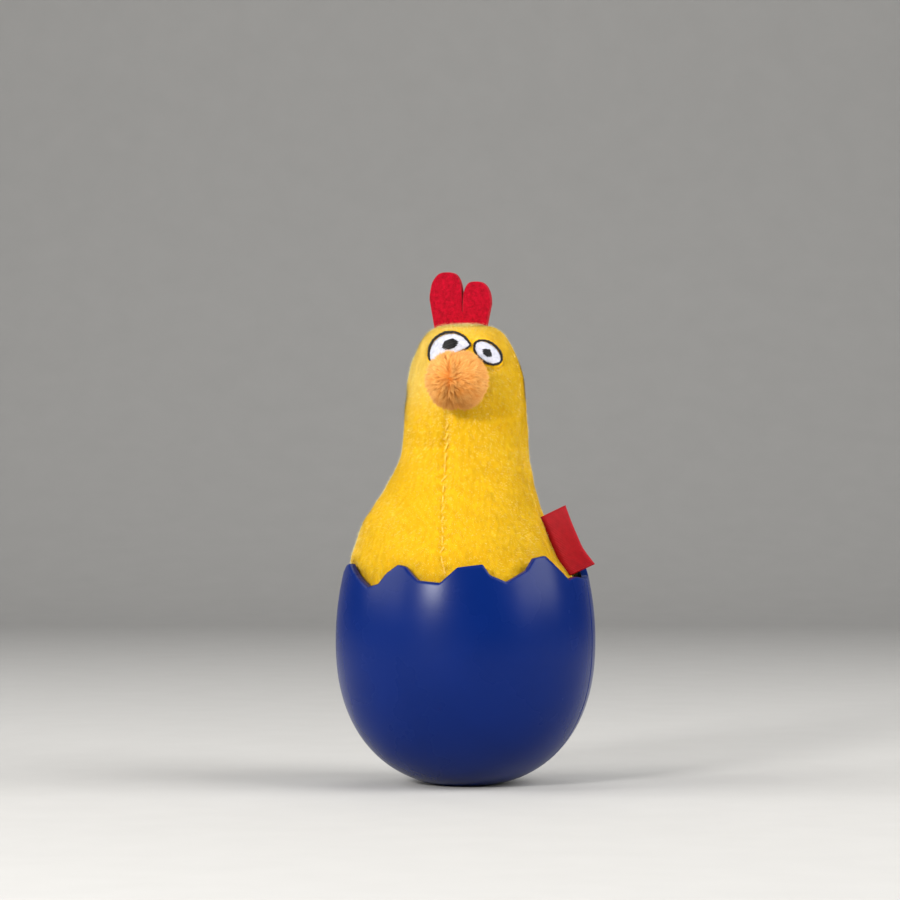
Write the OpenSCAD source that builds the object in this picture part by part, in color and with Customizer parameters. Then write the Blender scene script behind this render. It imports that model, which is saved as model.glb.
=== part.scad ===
// Plush chick standing in a weighted rubber half egg: a toy that rocks and stands up again.
// Millimetres. The origin is the middle of the flat spot underneath, +Z is up and the front
// seam of the plush faces -Y. Angles round the toy are counted from -Y towards +X, and left and
// right are as seen from the front.

/* [Rubber shell] */
// Radius of the shell at its widest
shell_r = 34; // [31:0.5:38]
// Height of the widest ring above the floor
belly_z = 37.6; // [35:0.2:40]
// How square the bowl below that ring is: 2 is an ellipse
bowl_power = 2.28; // [2.1:0.02:2.6]
// Diameter of the flat spot underneath
foot_d = 16; // [10:1:20]
// Radius of the arc that the sides follow above the widest ring
side_arc_r = 78; // [65:1:110]
// Wall at the widest ring
shell_wall = 2.8; // [2.4:0.1:3.6]
// Wall at the rim
rim_wall = 1.6; // [1.2:0.1:2.2]

/* [Broken rim] */
// Height of the deepest valley between the teeth
valley_z = 52.2; // [51:0.2:55]
// Height of the tallest tooth above that valley
tooth_h = 8.1; // [4:0.1:9]

/* [Weight in the base] */
// Diameter of the weight
weight_d = 32; // [24:1:34]
// Height of the weight
weight_h = 9.6; // [6:0.2:11]
// Height of the weight's underside above the floor
weight_z = 6.5; // [6:0.1:8]
// Thickness of the cap over the weight
cap_t = 2.4; // [1.6:0.2:3]
// Width of the step that the cap's edge rests on
cap_ledge = 4; // [2:0.5:5]

/* [Retaining ring] */
// Height of the ring's underside above the floor
ring_z = 43.5; // [42:0.5:44.5]
// Height of the ring
ring_h = 4.5; // [4:0.5:5]
// Thickness of the ring
ring_t = 2.2; // [1.6:0.1:3]
// How far the ring's bead stands into the wall of the shell
bead_depth = 0.9; // [0.5:0.1:1.1]
// Height of the bead
bead_h = 2; // [1.5:0.1:2.5]

/* [Plush body] */
// Top of the head
head_top = 120.7; // [115:0.1:128]
// Radius of the neck
neck_r = 17; // [15:0.2:20]
// Height of the neck
neck_z = 88.5; // [84:0.5:92]
// How much the head narrows for each millimetre above the neck
head_taper = 0.09; // [0.05:0.01:0.14]
// How far the bulge of the plush over the rim stays inside the shell's widest radius
bulge_inset = 3.5; // [2:0.1:5]
// Height at which the shoulders reach that radius
bulge_z = 49; // [48.5:0.5:54]
// How far the stuffed body leans to the left where it leaves the rim
body_lean = 2.8; // [0:0.2:3]
// Thickness of the plush, its pile included
plush_t = 1.8; // [1.2:0.1:2.4]
// Depth of the crease that a seam draws into the plush
seam_depth = 0.8; // [0.3:0.1:1]
// Half width of that crease
seam_half_w = 1.5; // [1:0.1:2.5]
// Angle of the front seam at the neck
front_seam_angle = -3.5; // [-6:0.5:6]
// How far that seam turns to the right on its way down
front_seam_turn = 11; // [0:1:14]
// Angle of the side seams from the front, at the neck
side_seam_angle = 75; // [68:1:84]
// How far those seams turn back on their way down to the rim
seam_turn = 20; // [0:1:24]

/* [Face] */
// Angle that the face is turned from the front seam
face_turn = 15; // [0:1:20]
// Distance from the top of the head down to the middle of the beak
beak_drop = 15.4; // [13:0.2:19]
// Widest radius of the beak
beak_r = 7.85; // [6:0.05:9]
// Distance from the face to the beak's widest ring
beak_back = 6; // [4:0.5:7]
// Distance from that ring to the tip of the beak
beak_front = 8.2; // [6:0.2:10]
// Angle round the head at which the beak is sewn on
beak_root_turn = 14; // [0:1:20]
// Angle that the beak points to
beak_aim = -5; // [-15:1:15]
// Thickness of the beak's fabric, its longer pile included
beak_t = 2.2; // [1.4:0.1:2.6]
// Half width of the left eye
left_eye_half_w = 5.2; // [4:0.1:5.4]
// Height of the left eye above its straight lower edge
left_eye_h = 5.1; // [4:0.1:5.6]
// Half length of the right eye
right_eye_half_w = 3.7; // [3:0.1:3.9]
// Half height of the right eye
right_eye_half_h = 2.3; // [1.8:0.1:2.8]
// Width of the stitched black line round the eyes
eye_line_w = 0.75; // [0.5:0.05:0.9]
// Thickness of the embroidery
embroidery_t = 0.5; // [0.3:0.05:0.7]

/* [Comb] */
// Width of the left lobe
comb_left_w = 8.9; // [6:0.1:10]
// Width of the right lobe
comb_right_w = 7.6; // [5:0.1:9]
// Height of the left lobe above the head
comb_left_h = 13.3; // [9:0.1:15]
// Height of the right lobe above the head
comb_right_h = 10.8; // [8.4:0.1:13]
// Depth of the slit between the lobes, from the top of the right lobe
comb_slit_depth = 8; // [5:0.2:9]
// Thickness of the felt
comb_t = 2.4; // [1.6:0.1:3]

/* [Label] */
// Height of the label's lower end above the deepest valley of the rim
label_gap = 2.6; // [2.4:0.1:6]
// Length of the label along the seam
label_l = 17.4; // [14:0.2:18]
// How far the label stands out of the seam
label_w = 7.2; // [5:0.2:9]
// Thickness of one layer of the ribbon
ribbon_t = 0.45; // [0.3:0.05:0.6]

/* [Squeaker] */
// Outer diameter of the bellows
squeaker_d = 30; // [24:1:32]
// Height of the bellows
squeaker_h = 14; // [12:1:16]
// Wall of the bellows
squeaker_wall = 0.8; // [0.6:0.1:1.2]
// Height of the bellows' underside above the floor
squeaker_z = 54; // [52:1:58]

/* [Hidden] */
$fn = 64;

// Clearance between hard pieces that are pressed or dropped into place
fit_gap = 0.15;
// Clearance between soft pieces
soft_gap = 0.25;
// Cloth of the lining
lining_t = 0.8;
// Sewing thread and the pitch of its stitches
thread_d = 0.5;
stitch_pitch = 2.6;
stitch_l = 1.9;
// Stretches without visible stitches: above the hem, below the beak or the top of the head, and
// above the label
hem_allowance = 9;
beak_allowance = 3;
head_allowance = 8;
label_allowance = 3;

shell_color = "#16317f";
plush_color = "#f7c51f";
beak_color = "#e8964a";
felt_color = "#d3122c";
white_color = "#f1f1f2";
black_color = "#1b1a1e";
steel_color = "#8d9196";
plastic_color = "#e4e4df";
stuffing_color = "#f4f4f2";
thread_color = "#d9a017";

// Broken line of the rim: angle from the front and share of the tallest tooth
rim_line = [[-66, 0.65], [-60, 0.7], [-36, 0], [-29, 0.12], [-25, 0.46], [-19, 0.73], [-15, 0.67],
            [-8, 0.25], [3, 0.18], [11, 0.67], [23, 0.76], [26, 0.43], [34, 0.2], [45, 0.56],
            [50, 0.93], [57, 1], [71, 0.22], [79, 0.3], [93, 0.2], [104, 0.27], [111, 0.78],
            [117, 0.83], [126, 0.35], [134, 0.15], [143, 0.6], [155, 0.92], [160, 0.5], [170, 0.1],
            [178, 0.35], [186, 0.7], [191, 0.62], [200, 0.17], [209, 0.45], [217, 0.95], [224, 0.8],
            [233, 0.22], [241, 0.1], [249, 0.65], [254, 0.72], [262, 0.22], [270, 0.12],
            [278, 0.42], [285, 0.46], [289, 0.38]];
rim_count = len(rim_line);
function rim_share(i) = rim_line[i % rim_count][1];
ridges = [for (i = [0 : rim_count - 1])
    if (rim_share(i) > rim_share(i + rim_count - 1) && rim_share(i) > rim_share(i + 1)) i];
rim_top = valley_z + tooth_h;

// Squares off a share from 0 to 1 so that it starts and ends level
function clamp01(x) = max(0, min(1, x));
function smooth(x) = let (u = clamp01(x)) u * u * (3 - 2 * u);

function unit(v) = v / norm(v);

// Point at radius r and height z, turned a from the front
function around(r, a, z) = [r * sin(a), -r * cos(a), z];

// Outer radius of the shell at height z: a superellipse below the widest ring, an arc above
bowl_h = belly_z / pow(1 - pow(foot_d / 2 / shell_r, bowl_power), 1 / bowl_power);
function shell_outer(z) = z < belly_z
    ? shell_r * pow(1 - pow((belly_z - z) / bowl_h, bowl_power), 1 / bowl_power)
    : shell_r - side_arc_r + sqrt(side_arc_r * side_arc_r - pow(z - belly_z, 2));

// Inner radius: the wall thins from the widest ring to the rim
function shell_inner(z) = z < belly_z
    ? (shell_r - shell_wall)
        * pow(1 - pow((belly_z - z) / (bowl_h - shell_wall), bowl_power), 1 / bowl_power)
    : shell_outer(z) - shell_wall
        + (shell_wall - rim_wall) * (z - belly_z) / (rim_top - belly_z);

bowl_steps = 16;
side_steps = 9;
shell_heights = [for (i = [0 : bowl_steps]) belly_z * (1 - cos(90 * i / bowl_steps)),
                 for (i = [1 : side_steps]) belly_z + (rim_top + 0.5 - belly_z) * i / side_steps];

// Base: pocket for the weight, then the recess for its cap, then the floor inside the shell
pocket_top = weight_z + weight_h + fit_gap;
floor_z = pocket_top + cap_t;
cap_r = weight_d / 2 + cap_ledge;

// Ring: it lies on the inner wall, and its bead sits in a groove
ring_top = ring_z + ring_h;
ring_outer = shell_inner(ring_top) - fit_gap;
ring_inner = ring_outer - ring_t;
bead_z = ring_z + (ring_h - bead_h) / 2;

// Plush: radius at height z, from the hem on the ring up to the dome of the head
bulge_r = shell_r - bulge_inset;
hem_z = ring_top + fit_gap;
body_rows = 16;
body_step = (neck_z - hem_z) / body_rows;
head_power = 4;
head_h = head_top - neck_z;
function head_radius(z) = let (u = (z - neck_z) / head_h)
    (neck_r - head_taper * head_h * u) * pow(1 - pow(u, head_power), 1 / head_power);
function shoulder_radius(z) = let (u = clamp01((neck_z - z) / (neck_z - bulge_z)))
    neck_r + (bulge_r - neck_r) * (0.6 * smooth(u) + 0.4 * u);
function plush_radius(z) = z >= neck_z ? head_radius(z) : shoulder_radius(z);

// Limit on a plush point's distance from the axis: inside the wall as high as the rim reaches in
// a stretch round angle a
rim_reach = 15;
function rim_near(a) = valley_z + tooth_h
    * max([for (p = rim_line) if (abs((p[0] - a + 540) % 360 - 180) < rim_reach) p[1]]);
function rim_limit(a, z) =
    shell_inner(min(z, rim_top)) - soft_gap + max(0, z - rim_near(a) - body_step);

// The stuffed body leans to the left above the rim, but not at its hem or its neck
lean_angle = -75;
lean_reach = 25;
function lean(z) =
    body_lean * smooth((neck_z - z) / lean_reach)
    * smooth((z - hem_z - body_step) / (rim_top - hem_z - body_step));
// Point at radius r round the leaning middle, kept a distance clear of the rim's inner wall
function leaning(r, a, z, out) =
    let (p = lean(z) * [sin(lean_angle), -cos(lean_angle)] + r * [sin(a), -cos(a)],
         q = p * min(1, (rim_limit(a, z) + out) / norm(p)))
    [q[0], q[1], z];

// Rows of the plush surface as [radius, height]: even below the neck, and above it at even
// angles of the dome's own superellipse so that the crown is round
head_rows = 15;
crown_angle = 89.7;
rows = [for (i = [0 : body_rows - 1])
            let (z = hem_z + body_step * i) [plush_radius(z), z],
        for (i = [0 : head_rows])
            let (z = neck_z + head_h * pow(sin(crown_angle * i / head_rows), 2 / head_power))
            [plush_radius(z), z]];

// Outward direction of row i, square to the line through its neighbours, and level at the hem
function row_normal(i) = i == 0 ? [1, 0] :
    let (a = rows[i - 1], b = rows[min(len(rows) - 1, i + 1)], d = b - a)
    [d[1], -d[0]] / norm(d);
// Row i moved a distance out from the plush surface
function row_at(i, out) = rows[i] + out * row_normal(i);

// Side seams meet over the middle of the head and turn back again below the neck
seam_turn_z = 100;
seam_turn_h = 45;
function side_seam(z) = side_seam_angle + (90 - side_seam_angle) * smooth((z - neck_z) / 25)
    + seam_turn * smooth((seam_turn_z - z) / seam_turn_h);
// Angle of the front seam, which runs straight below the beak as seen from the face
function front_seam(z) = front_seam_angle + front_seam_turn * smooth((neck_z - z) / lean_reach);
// Depth of the creases at angle a: the front one ends under the beak
beak_z = head_top - beak_drop;
front_seam_top = beak_z - beak_r;
function dip(arc) = exp(-pow(arc / seam_half_w, 2));
function crease(a, r, z) =
    let (to_front = r * (a - front_seam(z)) * PI / 180,
         to_side = r * (abs(a) - side_seam(z)) * PI / 180)
    seam_depth * max(dip(to_front) * smooth((front_seam_top + 2 - z) / 4),
                     dip(to_side) * smooth((head_top - z) / 4));

// Surface point at angle a and height z, a distance out from the plush
function plush_normal(z) = let (s = (plush_radius(z + 0.05) - plush_radius(z - 0.05)) / 0.1)
    [1, -s] / norm([1, -s]);
function on_plush(a, z, out) = let (n = plush_normal(z))
    leaning(plush_radius(z) + out * n[0], a, z + out * n[1], out);
// The same for a point seen x to the side of the face's middle
function on_face(x, z, out) = on_plush(face_turn + asin(x / plush_radius(z)), z, out);

// Closed solid between two grids of points with the same rows and columns
module skin(outer, inner) {
    m = len(outer);
    n = len(outer[0]);
    points = [for (row = outer) each row, for (row = inner) each row];
    function at(side, i, j) = side * m * n + i * n + j;
    faces = [
        for (i = [0 : m - 2], j = [0 : n - 2]) each [
            [at(0, i, j), at(0, i + 1, j), at(0, i + 1, j + 1)],
            [at(0, i, j), at(0, i + 1, j + 1), at(0, i, j + 1)],
            [at(1, i, j), at(1, i + 1, j + 1), at(1, i + 1, j)],
            [at(1, i, j), at(1, i, j + 1), at(1, i + 1, j + 1)]],
        for (i = [0 : m - 2]) each [
            [at(0, i, 0), at(1, i, 0), at(1, i + 1, 0)],
            [at(0, i, 0), at(1, i + 1, 0), at(0, i + 1, 0)],
            [at(0, i, n - 1), at(1, i + 1, n - 1), at(1, i, n - 1)],
            [at(0, i, n - 1), at(0, i + 1, n - 1), at(1, i + 1, n - 1)]],
        for (j = [0 : n - 2]) each [
            [at(0, 0, j), at(1, 0, j + 1), at(1, 0, j)],
            [at(0, 0, j), at(0, 0, j + 1), at(1, 0, j + 1)],
            [at(0, m - 1, j), at(1, m - 1, j), at(1, m - 1, j + 1)],
            [at(0, m - 1, j), at(1, m - 1, j + 1), at(0, m - 1, j + 1)]]];
    polyhedron(points, faces, convexity = 6);
}

// Plush panel between two angles given for each height, with the columns at the given shares of
// the way from its first edge over its middle to its last edge
module plush_panel(from, middle, to, shares) {
    function grid(out) = [for (i = [0 : len(rows) - 1])
        let (p = row_at(i, out), z = rows[i][1], r = rows[i][0],
             edge = soft_gap / 2 / r * 180 / PI,
             a0 = from(z) + edge, am = middle(z), a1 = to(z) - edge)
        [for (s = shares)
            let (a = s < 0.5 ? a0 + (am - a0) * 2 * s : am + (a1 - am) * (2 * s - 1),
                 dent = out == 0 ? crease(a > 180 ? a - 360 : a, r, z) : 0,
                 q = p - dent * row_normal(i))
            leaning(q[0], a, q[1], out - dent)]];
    difference() {
        skin(grid(0), grid(-plush_t));
        comb_slot();
    }
}

// Revolve of the space between two heights-to-radius outlines
module revolve(points) {
    rotate_extrude() polygon(points);
}

module egg_shell() {
    color(shell_color)
    difference() {
        revolve([[0, 0], for (z = shell_heights) [shell_outer(z), z], [0, rim_top + 0.5]]);
        revolve([[0, floor_z], [shell_inner(floor_z), floor_z],
                 for (z = shell_heights) if (z > floor_z + 0.5) [shell_inner(z), z],
                 [shell_inner(rim_top), rim_top + 1], [0, rim_top + 1]]);
        translate([0, 0, weight_z]) cylinder(r = weight_d / 2 + fit_gap, h = floor_z);
        translate([0, 0, pocket_top]) cylinder(r = cap_r + fit_gap, h = floor_z);
        translate([0, 0, bead_z - fit_gap])
            cylinder(r = ring_outer + fit_gap + bead_depth, h = bead_h + 2 * fit_gap);
        for (k = [0 : len(ridges) - 1]) rim_notch(k);
    }
}

// Gap between ridge k of the rim and the next one, cut square through the wall along the broken
// line, and on past each ridge while it still rises
module rim_notch(k) {
    first = ridges[k];
    last = k + 1 < len(ridges) ? ridges[k + 1] : ridges[0] + rim_count;
    line = [for (i = [first : last])
        [rim_line[i % rim_count][0] + 360 * floor(i / rim_count), valley_z + tooth_h * rim_share(i)]];
    count = len(line);
    middle = (line[0][0] + line[count - 1][0]) / 2;
    past = 1;
    climb = 0.6;
    edge = [for (p = line) [shell_outer(rim_top) * sin(p[0] - middle), p[1]]];
    left = edge[0];
    right = edge[count - 1];
    rotate([0, 0, middle]) translate([0, -shell_r / 2, 0]) rotate([90, 0, 0])
        linear_extrude(shell_r)
        polygon([[left[0] - past, rim_top + 2], [left[0] - past, left[1] + climb], each edge,
                 [right[0] + past, right[1] + climb], [right[0] + past, rim_top + 2]]);
}

// Cast puck with chamfered edges and a dimple left by its gate
module base_weight() {
    r = weight_d / 2;
    bevel = 1;
    color(steel_color)
    translate([0, 0, weight_z])
    revolve([[0, 0], [r - bevel, 0], [r, bevel], [r, weight_h - bevel], [r - bevel, weight_h],
             [3, weight_h], [2, weight_h - bevel], [0, weight_h - bevel]]);
}

// Plastic disc pressed over the weight, with a stiffening ring underneath its thinner middle
module weight_cap() {
    web = cap_t / 2;
    color(plastic_color)
    difference() {
        translate([0, 0, pocket_top]) cylinder(r = cap_r, h = cap_t);
        translate([0, 0, pocket_top + web]) cylinder(r = cap_r - cap_ledge / 2, h = cap_t);
    }
}

// Ring that holds the hem of the plush: its bead snaps into the groove of the shell
module retaining_ring() {
    lead = bead_depth / 2;
    color(plastic_color)
    revolve([[ring_inner, ring_z], [ring_outer, ring_z], [ring_outer, bead_z],
             [ring_outer + bead_depth, bead_z + lead],
             [ring_outer + bead_depth, bead_z + bead_h - lead],
             [ring_outer, bead_z + bead_h], [ring_outer, ring_top], [ring_inner, ring_top]]);
}

// Cloth pouch inside the shell that closes the plush body below the ring
pouch_bottom = floor_z + soft_gap;
pouch_neck = ring_inner - 2 * soft_gap;
pouch_top = hem_z + 1.5;
pouch_shoulder = ring_z - 3;
pouch_heights = [for (i = [0 : 6]) pouch_bottom + (pouch_shoulder - pouch_bottom) * i / 6];
function pouch_line(gap) = [
    for (z = pouch_heights) [shell_inner(z) - soft_gap - gap, max(z, pouch_bottom + gap)],
    [pouch_neck - gap, ring_z - soft_gap], [pouch_neck - gap, pouch_top]];

module lining_pouch() {
    color(white_color)
    difference() {
        revolve([[0, pouch_bottom], each pouch_line(0), [0, pouch_top]]);
        revolve([[0, pouch_bottom + lining_t], each pouch_line(lining_t),
                 [pouch_neck - lining_t, pouch_top + 1], [0, pouch_top + 1]]);
    }
}

// Front of the plush, cut in one piece over the face and sewn together below the beak
module plush_front() {
    half = 11;
    shares = [for (i = [-half : half]) (1 + sign(i) * smooth(abs(i) / half)) / 2];
    color(plush_color)
    plush_panel(function(z) -side_seam(z), function(z) front_seam(z), function(z) side_seam(z),
                shares);
}

module plush_back() {
    steps = 18;
    color(plush_color)
    plush_panel(function(z) side_seam(z), function(z) 180, function(z) 360 - side_seam(z),
                [for (i = [0 : steps]) (i / steps + smooth(i / steps)) / 2]);
}

// Polyester filling, with a hollow round the squeaker: the leaning body on the pouch's contents
module body_stuffing() {
    depth = plush_t + 2 * soft_gap;
    pouch_depth = lining_t + soft_gap;
    join = 2;
    color(stuffing_color)
    difference() {
        union() {
            revolve([[0, pouch_bottom + pouch_depth], each pouch_line(pouch_depth),
                     [pouch_neck - pouch_depth, pouch_top + join], [0, pouch_top + join]]);
            body_core(depth);
        }
        translate([0, 0, squeaker_z - plug_flange_t - soft_gap])
            cylinder(r = squeaker_d / 2 + soft_gap,
                     h = squeaker_h + plug_flange_t + 2 * soft_gap);
    }
}

// Inside of the plush above the pouch, a depth below its surface, as a stack of rings
module body_core(depth) {
    turns = [0 : 12 : 348];
    line = [for (i = [0 : len(rows) - 1]) if (rows[i][1] > pouch_top) row_at(i, -depth)];
    rings = [for (p = line) if (p[0] > 1) [for (a = turns) leaning(p[0], a, p[1], -depth)]];
    m = len(rings);
    n = len(rings[0]);
    function at(i, j) = i * n + (j % n);
    faces = [
        for (i = [0 : m - 2], j = [0 : n - 1]) each [
            [at(i, j), at(i + 1, j), at(i + 1, j + 1)], [at(i, j), at(i + 1, j + 1), at(i, j + 1)]],
        [for (j = [0 : n - 1]) at(0, j)],
        [for (j = [n - 1 : -1 : 0]) at(m - 1, j)]];
    polyhedron([for (ring = rings) each ring], faces, convexity = 4);
}

// Row of stitches lying in a seam's crease, from height z0 to z1
module stitches(z0, z1, angle) {
    lift = thread_d / 2 + 1.7 * soft_gap - seam_depth;
    for (z = [z0 : stitch_pitch : z1]) {
        n = plush_normal(z);
        translate(on_plush(angle(z), z, lift)) rotate([0, 0, angle(z)])
            rotate([-atan2(n[1], n[0]), 0, 0])
            cylinder(d = thread_d, h = stitch_l, center = true, $fn = 24);
    }
}

module front_seam_thread() {
    color(thread_color)
    stitches(hem_z + hem_allowance, front_seam_top - beak_allowance,
             function(z) front_seam(z));
}

module left_seam_thread() {
    color(thread_color)
    stitches(hem_z + hem_allowance, head_top - head_allowance, function(z) -side_seam(z));
}

module right_seam_thread() {
    color(thread_color)
    stitches(label_top_z + label_allowance, head_top - head_allowance,
             function(z) side_seam(z));
}

// Comb: two round lobes cut from one sheet of felt, with its root in the seam over the head
comb_x = -1.25;
comb_root_z = head_top - plush_t;
comb_slit_x = comb_x + (comb_left_w - comb_right_w) / 2;
comb_taper = 1.4;

module comb_slot() {
    w = comb_left_w + comb_right_w + 2 * soft_gap;
    translate([comb_x - w / 2, -comb_t / 2 - soft_gap, comb_root_z - 2])
        cube([w, comb_t + 2 * soft_gap, plush_t + 4]);
}

// Upper outline of a lobe, an arc of a superellipse from its left to its right side
function lobe(x0, w, z0, h) = [for (a = [180 : -12 : 0])
    [x0 + w / 2 * (1 + sign(cos(a)) * pow(abs(cos(a)), 0.85)), z0 + h * pow(sin(a), 0.9)]];

module comb() {
    half_w = (comb_left_w + comb_right_w) / 2;
    slit_w = 0.3;
    arch = 0.55;
    left_x = comb_x - half_w;
    base = head_top;
    color(felt_color)
    rotate([90, 0, 0]) translate([0, 0, -comb_t / 2]) linear_extrude(comb_t)
    polygon([
        [left_x + comb_taper, comb_root_z],
        each lobe(left_x, comb_left_w - slit_w / 2, base + comb_left_h * (1 - arch),
                  comb_left_h * arch),
        [comb_slit_x, base + comb_right_h - comb_slit_depth],
        each lobe(comb_slit_x + slit_w / 2, comb_right_w - slit_w / 2,
                  base + comb_right_h * (1 - arch), comb_right_h * arch),
        [comb_x + half_w - comb_taper, comb_root_z]]);
}

// Beak: a stuffed ball of two halves sewn down its middle, its back against the face
beak_root = around(plush_radius(beak_z), beak_root_turn, beak_z);
back_power = 2.2;
front_power = 2.3;
back_h = 1.23 * beak_back;
function beak_radius(s) = s < 0
    ? beak_r * pow(1 - pow(-s / back_h, back_power), 1 / back_power)
    : beak_r * pow(max(0, 1 - pow(s / beak_front, front_power)), 1 / front_power);
beak_steps = 9;

// Solid of the beak, made smaller all round by an inset
module beak_form(inset) {
    k = (beak_r - inset) / beak_r;
    profile = [
        for (i = [0 : beak_steps])
            let (s = -back_h * 0.99 * cos(90 * i / beak_steps)) [beak_radius(s) * k, s * k],
        for (i = [1 : beak_steps])
            let (s = beak_front * sin(90 * i / beak_steps)) [beak_radius(s) * k, s * k]];
    translate(beak_root) rotate([0, 0, beak_aim]) translate([0, -beak_back, 0])
        rotate([90, 0, 0])
        revolve([[0, profile[0][1]], each profile]);
}

// Space that the head takes up, with a gap and anything sewn inside it
module head_space(gap) {
    revolve([[0, rows[body_rows - 1][1]],
             for (i = [body_rows - 1 : len(rows) - 2]) row_at(i, gap),
             [0, rows[len(rows) - 1][1] + gap]]);
}

// Half space on one side of the beak's seam: 1 is the right side, -1 the left one
module beak_side(side) {
    reach = 2 * (beak_back + beak_front + beak_r);
    translate(beak_root) rotate([0, 0, beak_aim])
        translate([side * (soft_gap + reach) / 2, 0, 0]) cube(reach, center = true);
}

module beak_half(side) {
    color(beak_color)
    intersection() {
        difference() {
            beak_form(0);
            beak_form(beak_t);
            head_space(soft_gap);
        }
        beak_side(side);
    }
}

module beak_left() {
    beak_half(-1);
}

module beak_right() {
    beak_half(1);
}

module beak_stuffing() {
    color(stuffing_color)
    difference() {
        beak_form(beak_t + soft_gap);
        head_space(soft_gap);
    }
}

// Eyes: middle across and up the face, and tilt. The left one is a half moon over a straight
// lower edge, the right one an oval.
left_eye = [-3.9, beak_z + 7.1, 22];
right_eye = [5.95, beak_z + 7.2, -37];
left_pupil = [-3.9, beak_z + 9.25, 20];
right_pupil = [5.75, beak_z + 7.1, -38];
left_pupil_size = [2.3, 1.2];
right_pupil_size = [1.7, 0.95];
lower_lid = 0.6;

// Outline point of an eye at angle a, grown by a margin
function left_eye_edge(a, grow) = [(left_eye_half_w + grow) * cos(a),
    ((sin(a) > 0 ? left_eye_h : lower_lid) + grow) * sin(a)];
function right_eye_edge(a, grow) = [(right_eye_half_w + grow) * cos(a),
    (right_eye_half_h + grow) * sin(a)];

// Point of the face at p, measured from a place that has its own tilt
function placed(place, p, out) = on_face(
    place[0] + p[0] * cos(place[2]) - p[1] * sin(place[2]),
    place[1] + p[0] * sin(place[2]) + p[1] * cos(place[2]), out);

// Filled patch of stitches: rings from a small middle hole to the outline
module patch(place, edge, bottom, top) {
    sides = 28;
    rings = 4;
    shares = [for (k = [1 : rings]) k / rings];
    middle = 2 * rings * sides;
    function ring(k, out) = [for (i = [0 : sides - 1]) placed(place, edge(i * 360 / sides) * k, out)];
    points = [for (k = shares) each ring(k, top), for (k = shares) each ring(k, bottom),
              placed(place, [0, 0], top), placed(place, [0, 0], bottom)];
    function at(side, k, i) = (side * rings + k) * sides + (i % sides);
    faces = [
        for (i = [0 : sides - 1], k = [0 : rings - 2]) each [
            [at(0, k, i), at(0, k + 1, i + 1), at(0, k + 1, i)],
            [at(0, k, i), at(0, k, i + 1), at(0, k + 1, i + 1)],
            [at(1, k, i), at(1, k + 1, i), at(1, k + 1, i + 1)],
            [at(1, k, i), at(1, k + 1, i + 1), at(1, k, i + 1)]],
        for (i = [0 : sides - 1]) each [
            [middle, at(0, 0, i + 1), at(0, 0, i)],
            [middle + 1, at(1, 0, i), at(1, 0, i + 1)],
            [at(0, rings - 1, i), at(0, rings - 1, i + 1), at(1, rings - 1, i + 1)],
            [at(0, rings - 1, i), at(1, rings - 1, i + 1), at(1, rings - 1, i)]]];
    polyhedron(points, faces, convexity = 4);
}

// Line of stitches round an outline, as wide as the eye's line
module stitched_line(place, edge) {
    sides = 36;
    function loop(grow, out) = [for (i = [0 : sides - 1])
        placed(place, edge(i * 360 / sides, grow), out)];
    low = embroidery_gap;
    high = embroidery_gap + embroidery_t;
    inner = soft_gap / 2;
    outer = inner + eye_line_w;
    loops = [loop(inner, low), loop(outer, low), loop(outer, high), loop(inner, high)];
    points = [for (l = loops) each l];
    function at(l, i) = (l % 4) * sides + (i % sides);
    faces = [for (l = [0 : 3], i = [0 : sides - 1]) each [
        [at(l, i), at(l + 1, i + 1), at(l, i + 1)],
        [at(l, i), at(l + 1, i), at(l + 1, i + 1)]]];
    polyhedron(points, faces, convexity = 6);
}

embroidery_gap = 0.12;
embroidery_top = embroidery_gap + embroidery_t;

module left_eye_white() {
    color(white_color)
    patch(left_eye, function(a) left_eye_edge(a, 0), embroidery_gap, embroidery_top);
}

module right_eye_white() {
    color(white_color)
    patch(right_eye, function(a) right_eye_edge(a, 0), embroidery_gap, embroidery_top);
}

module left_eye_outline() {
    color(black_color)
    stitched_line(left_eye, function(a, grow) left_eye_edge(a, grow));
}

module right_eye_outline() {
    color(black_color)
    stitched_line(right_eye, function(a, grow) right_eye_edge(a, grow));
}

module pupil(place, size) {
    color(black_color)
    patch(place, function(a) [size[0] * cos(a), size[1] * sin(a)],
          embroidery_top + embroidery_gap / 2, embroidery_top + embroidery_t);
}

module left_eye_pupil() {
    pupil(left_pupil, left_pupil_size);
}

module right_eye_pupil() {
    pupil(right_pupil, right_pupil_size);
}

// Label: a ribbon folded into a loop, its inner edge along the side seam and its fold outside.
// The seam leans there, so the label's height is a little less than its length.
label_lean = 0.88;
label_foot_z = valley_z + label_gap;
label_top_z = label_foot_z + label_l * label_lean;

module side_label() {
    fold = 2 * ribbon_t;
    slack = 0.15;
    steps = 6;
    root = [for (k = [0 : steps]) let (z = label_foot_z + (label_top_z - label_foot_z) * k / steps)
        on_plush(side_seam(z), z, soft_gap - 0.8 * seam_depth)];
    up = unit(root[steps] - root[0]);
    middle = side_seam((label_foot_z + label_top_z) / 2);
    across = unit(cross(up, [sin(middle), -cos(middle), 0]));
    out = cross(across, up);
    shift = [for (p = root) (p - root[0]) * across] * [for (p = root) 1] / (steps + 1);
    base = root[0] + shift * across;
    function outline(w) = concat([for (p = root) [(p - base) * out, (p - base) * up]],
        [for (p = [root[steps], root[0]]) [(p - base) * out + w, (p - base) * up]]);
    color(felt_color)
    multmatrix([for (i = [0 : 2]) [out[i], up[i], across[i], base[i]]])
    difference() {
        translate([0, 0, -ribbon_t - slack / 2])
            linear_extrude(2 * ribbon_t + slack) polygon(outline(label_w));
        translate([0, 0, -slack / 2])
            linear_extrude(slack) polygon(outline(label_w - fold));
    }
}

// Squeaker: a bellows with two folds, and a plug with a reed in the hole underneath
plug_r = 3;
plug_flange_t = 0.8;
fold_depth = 2.4;

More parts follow.
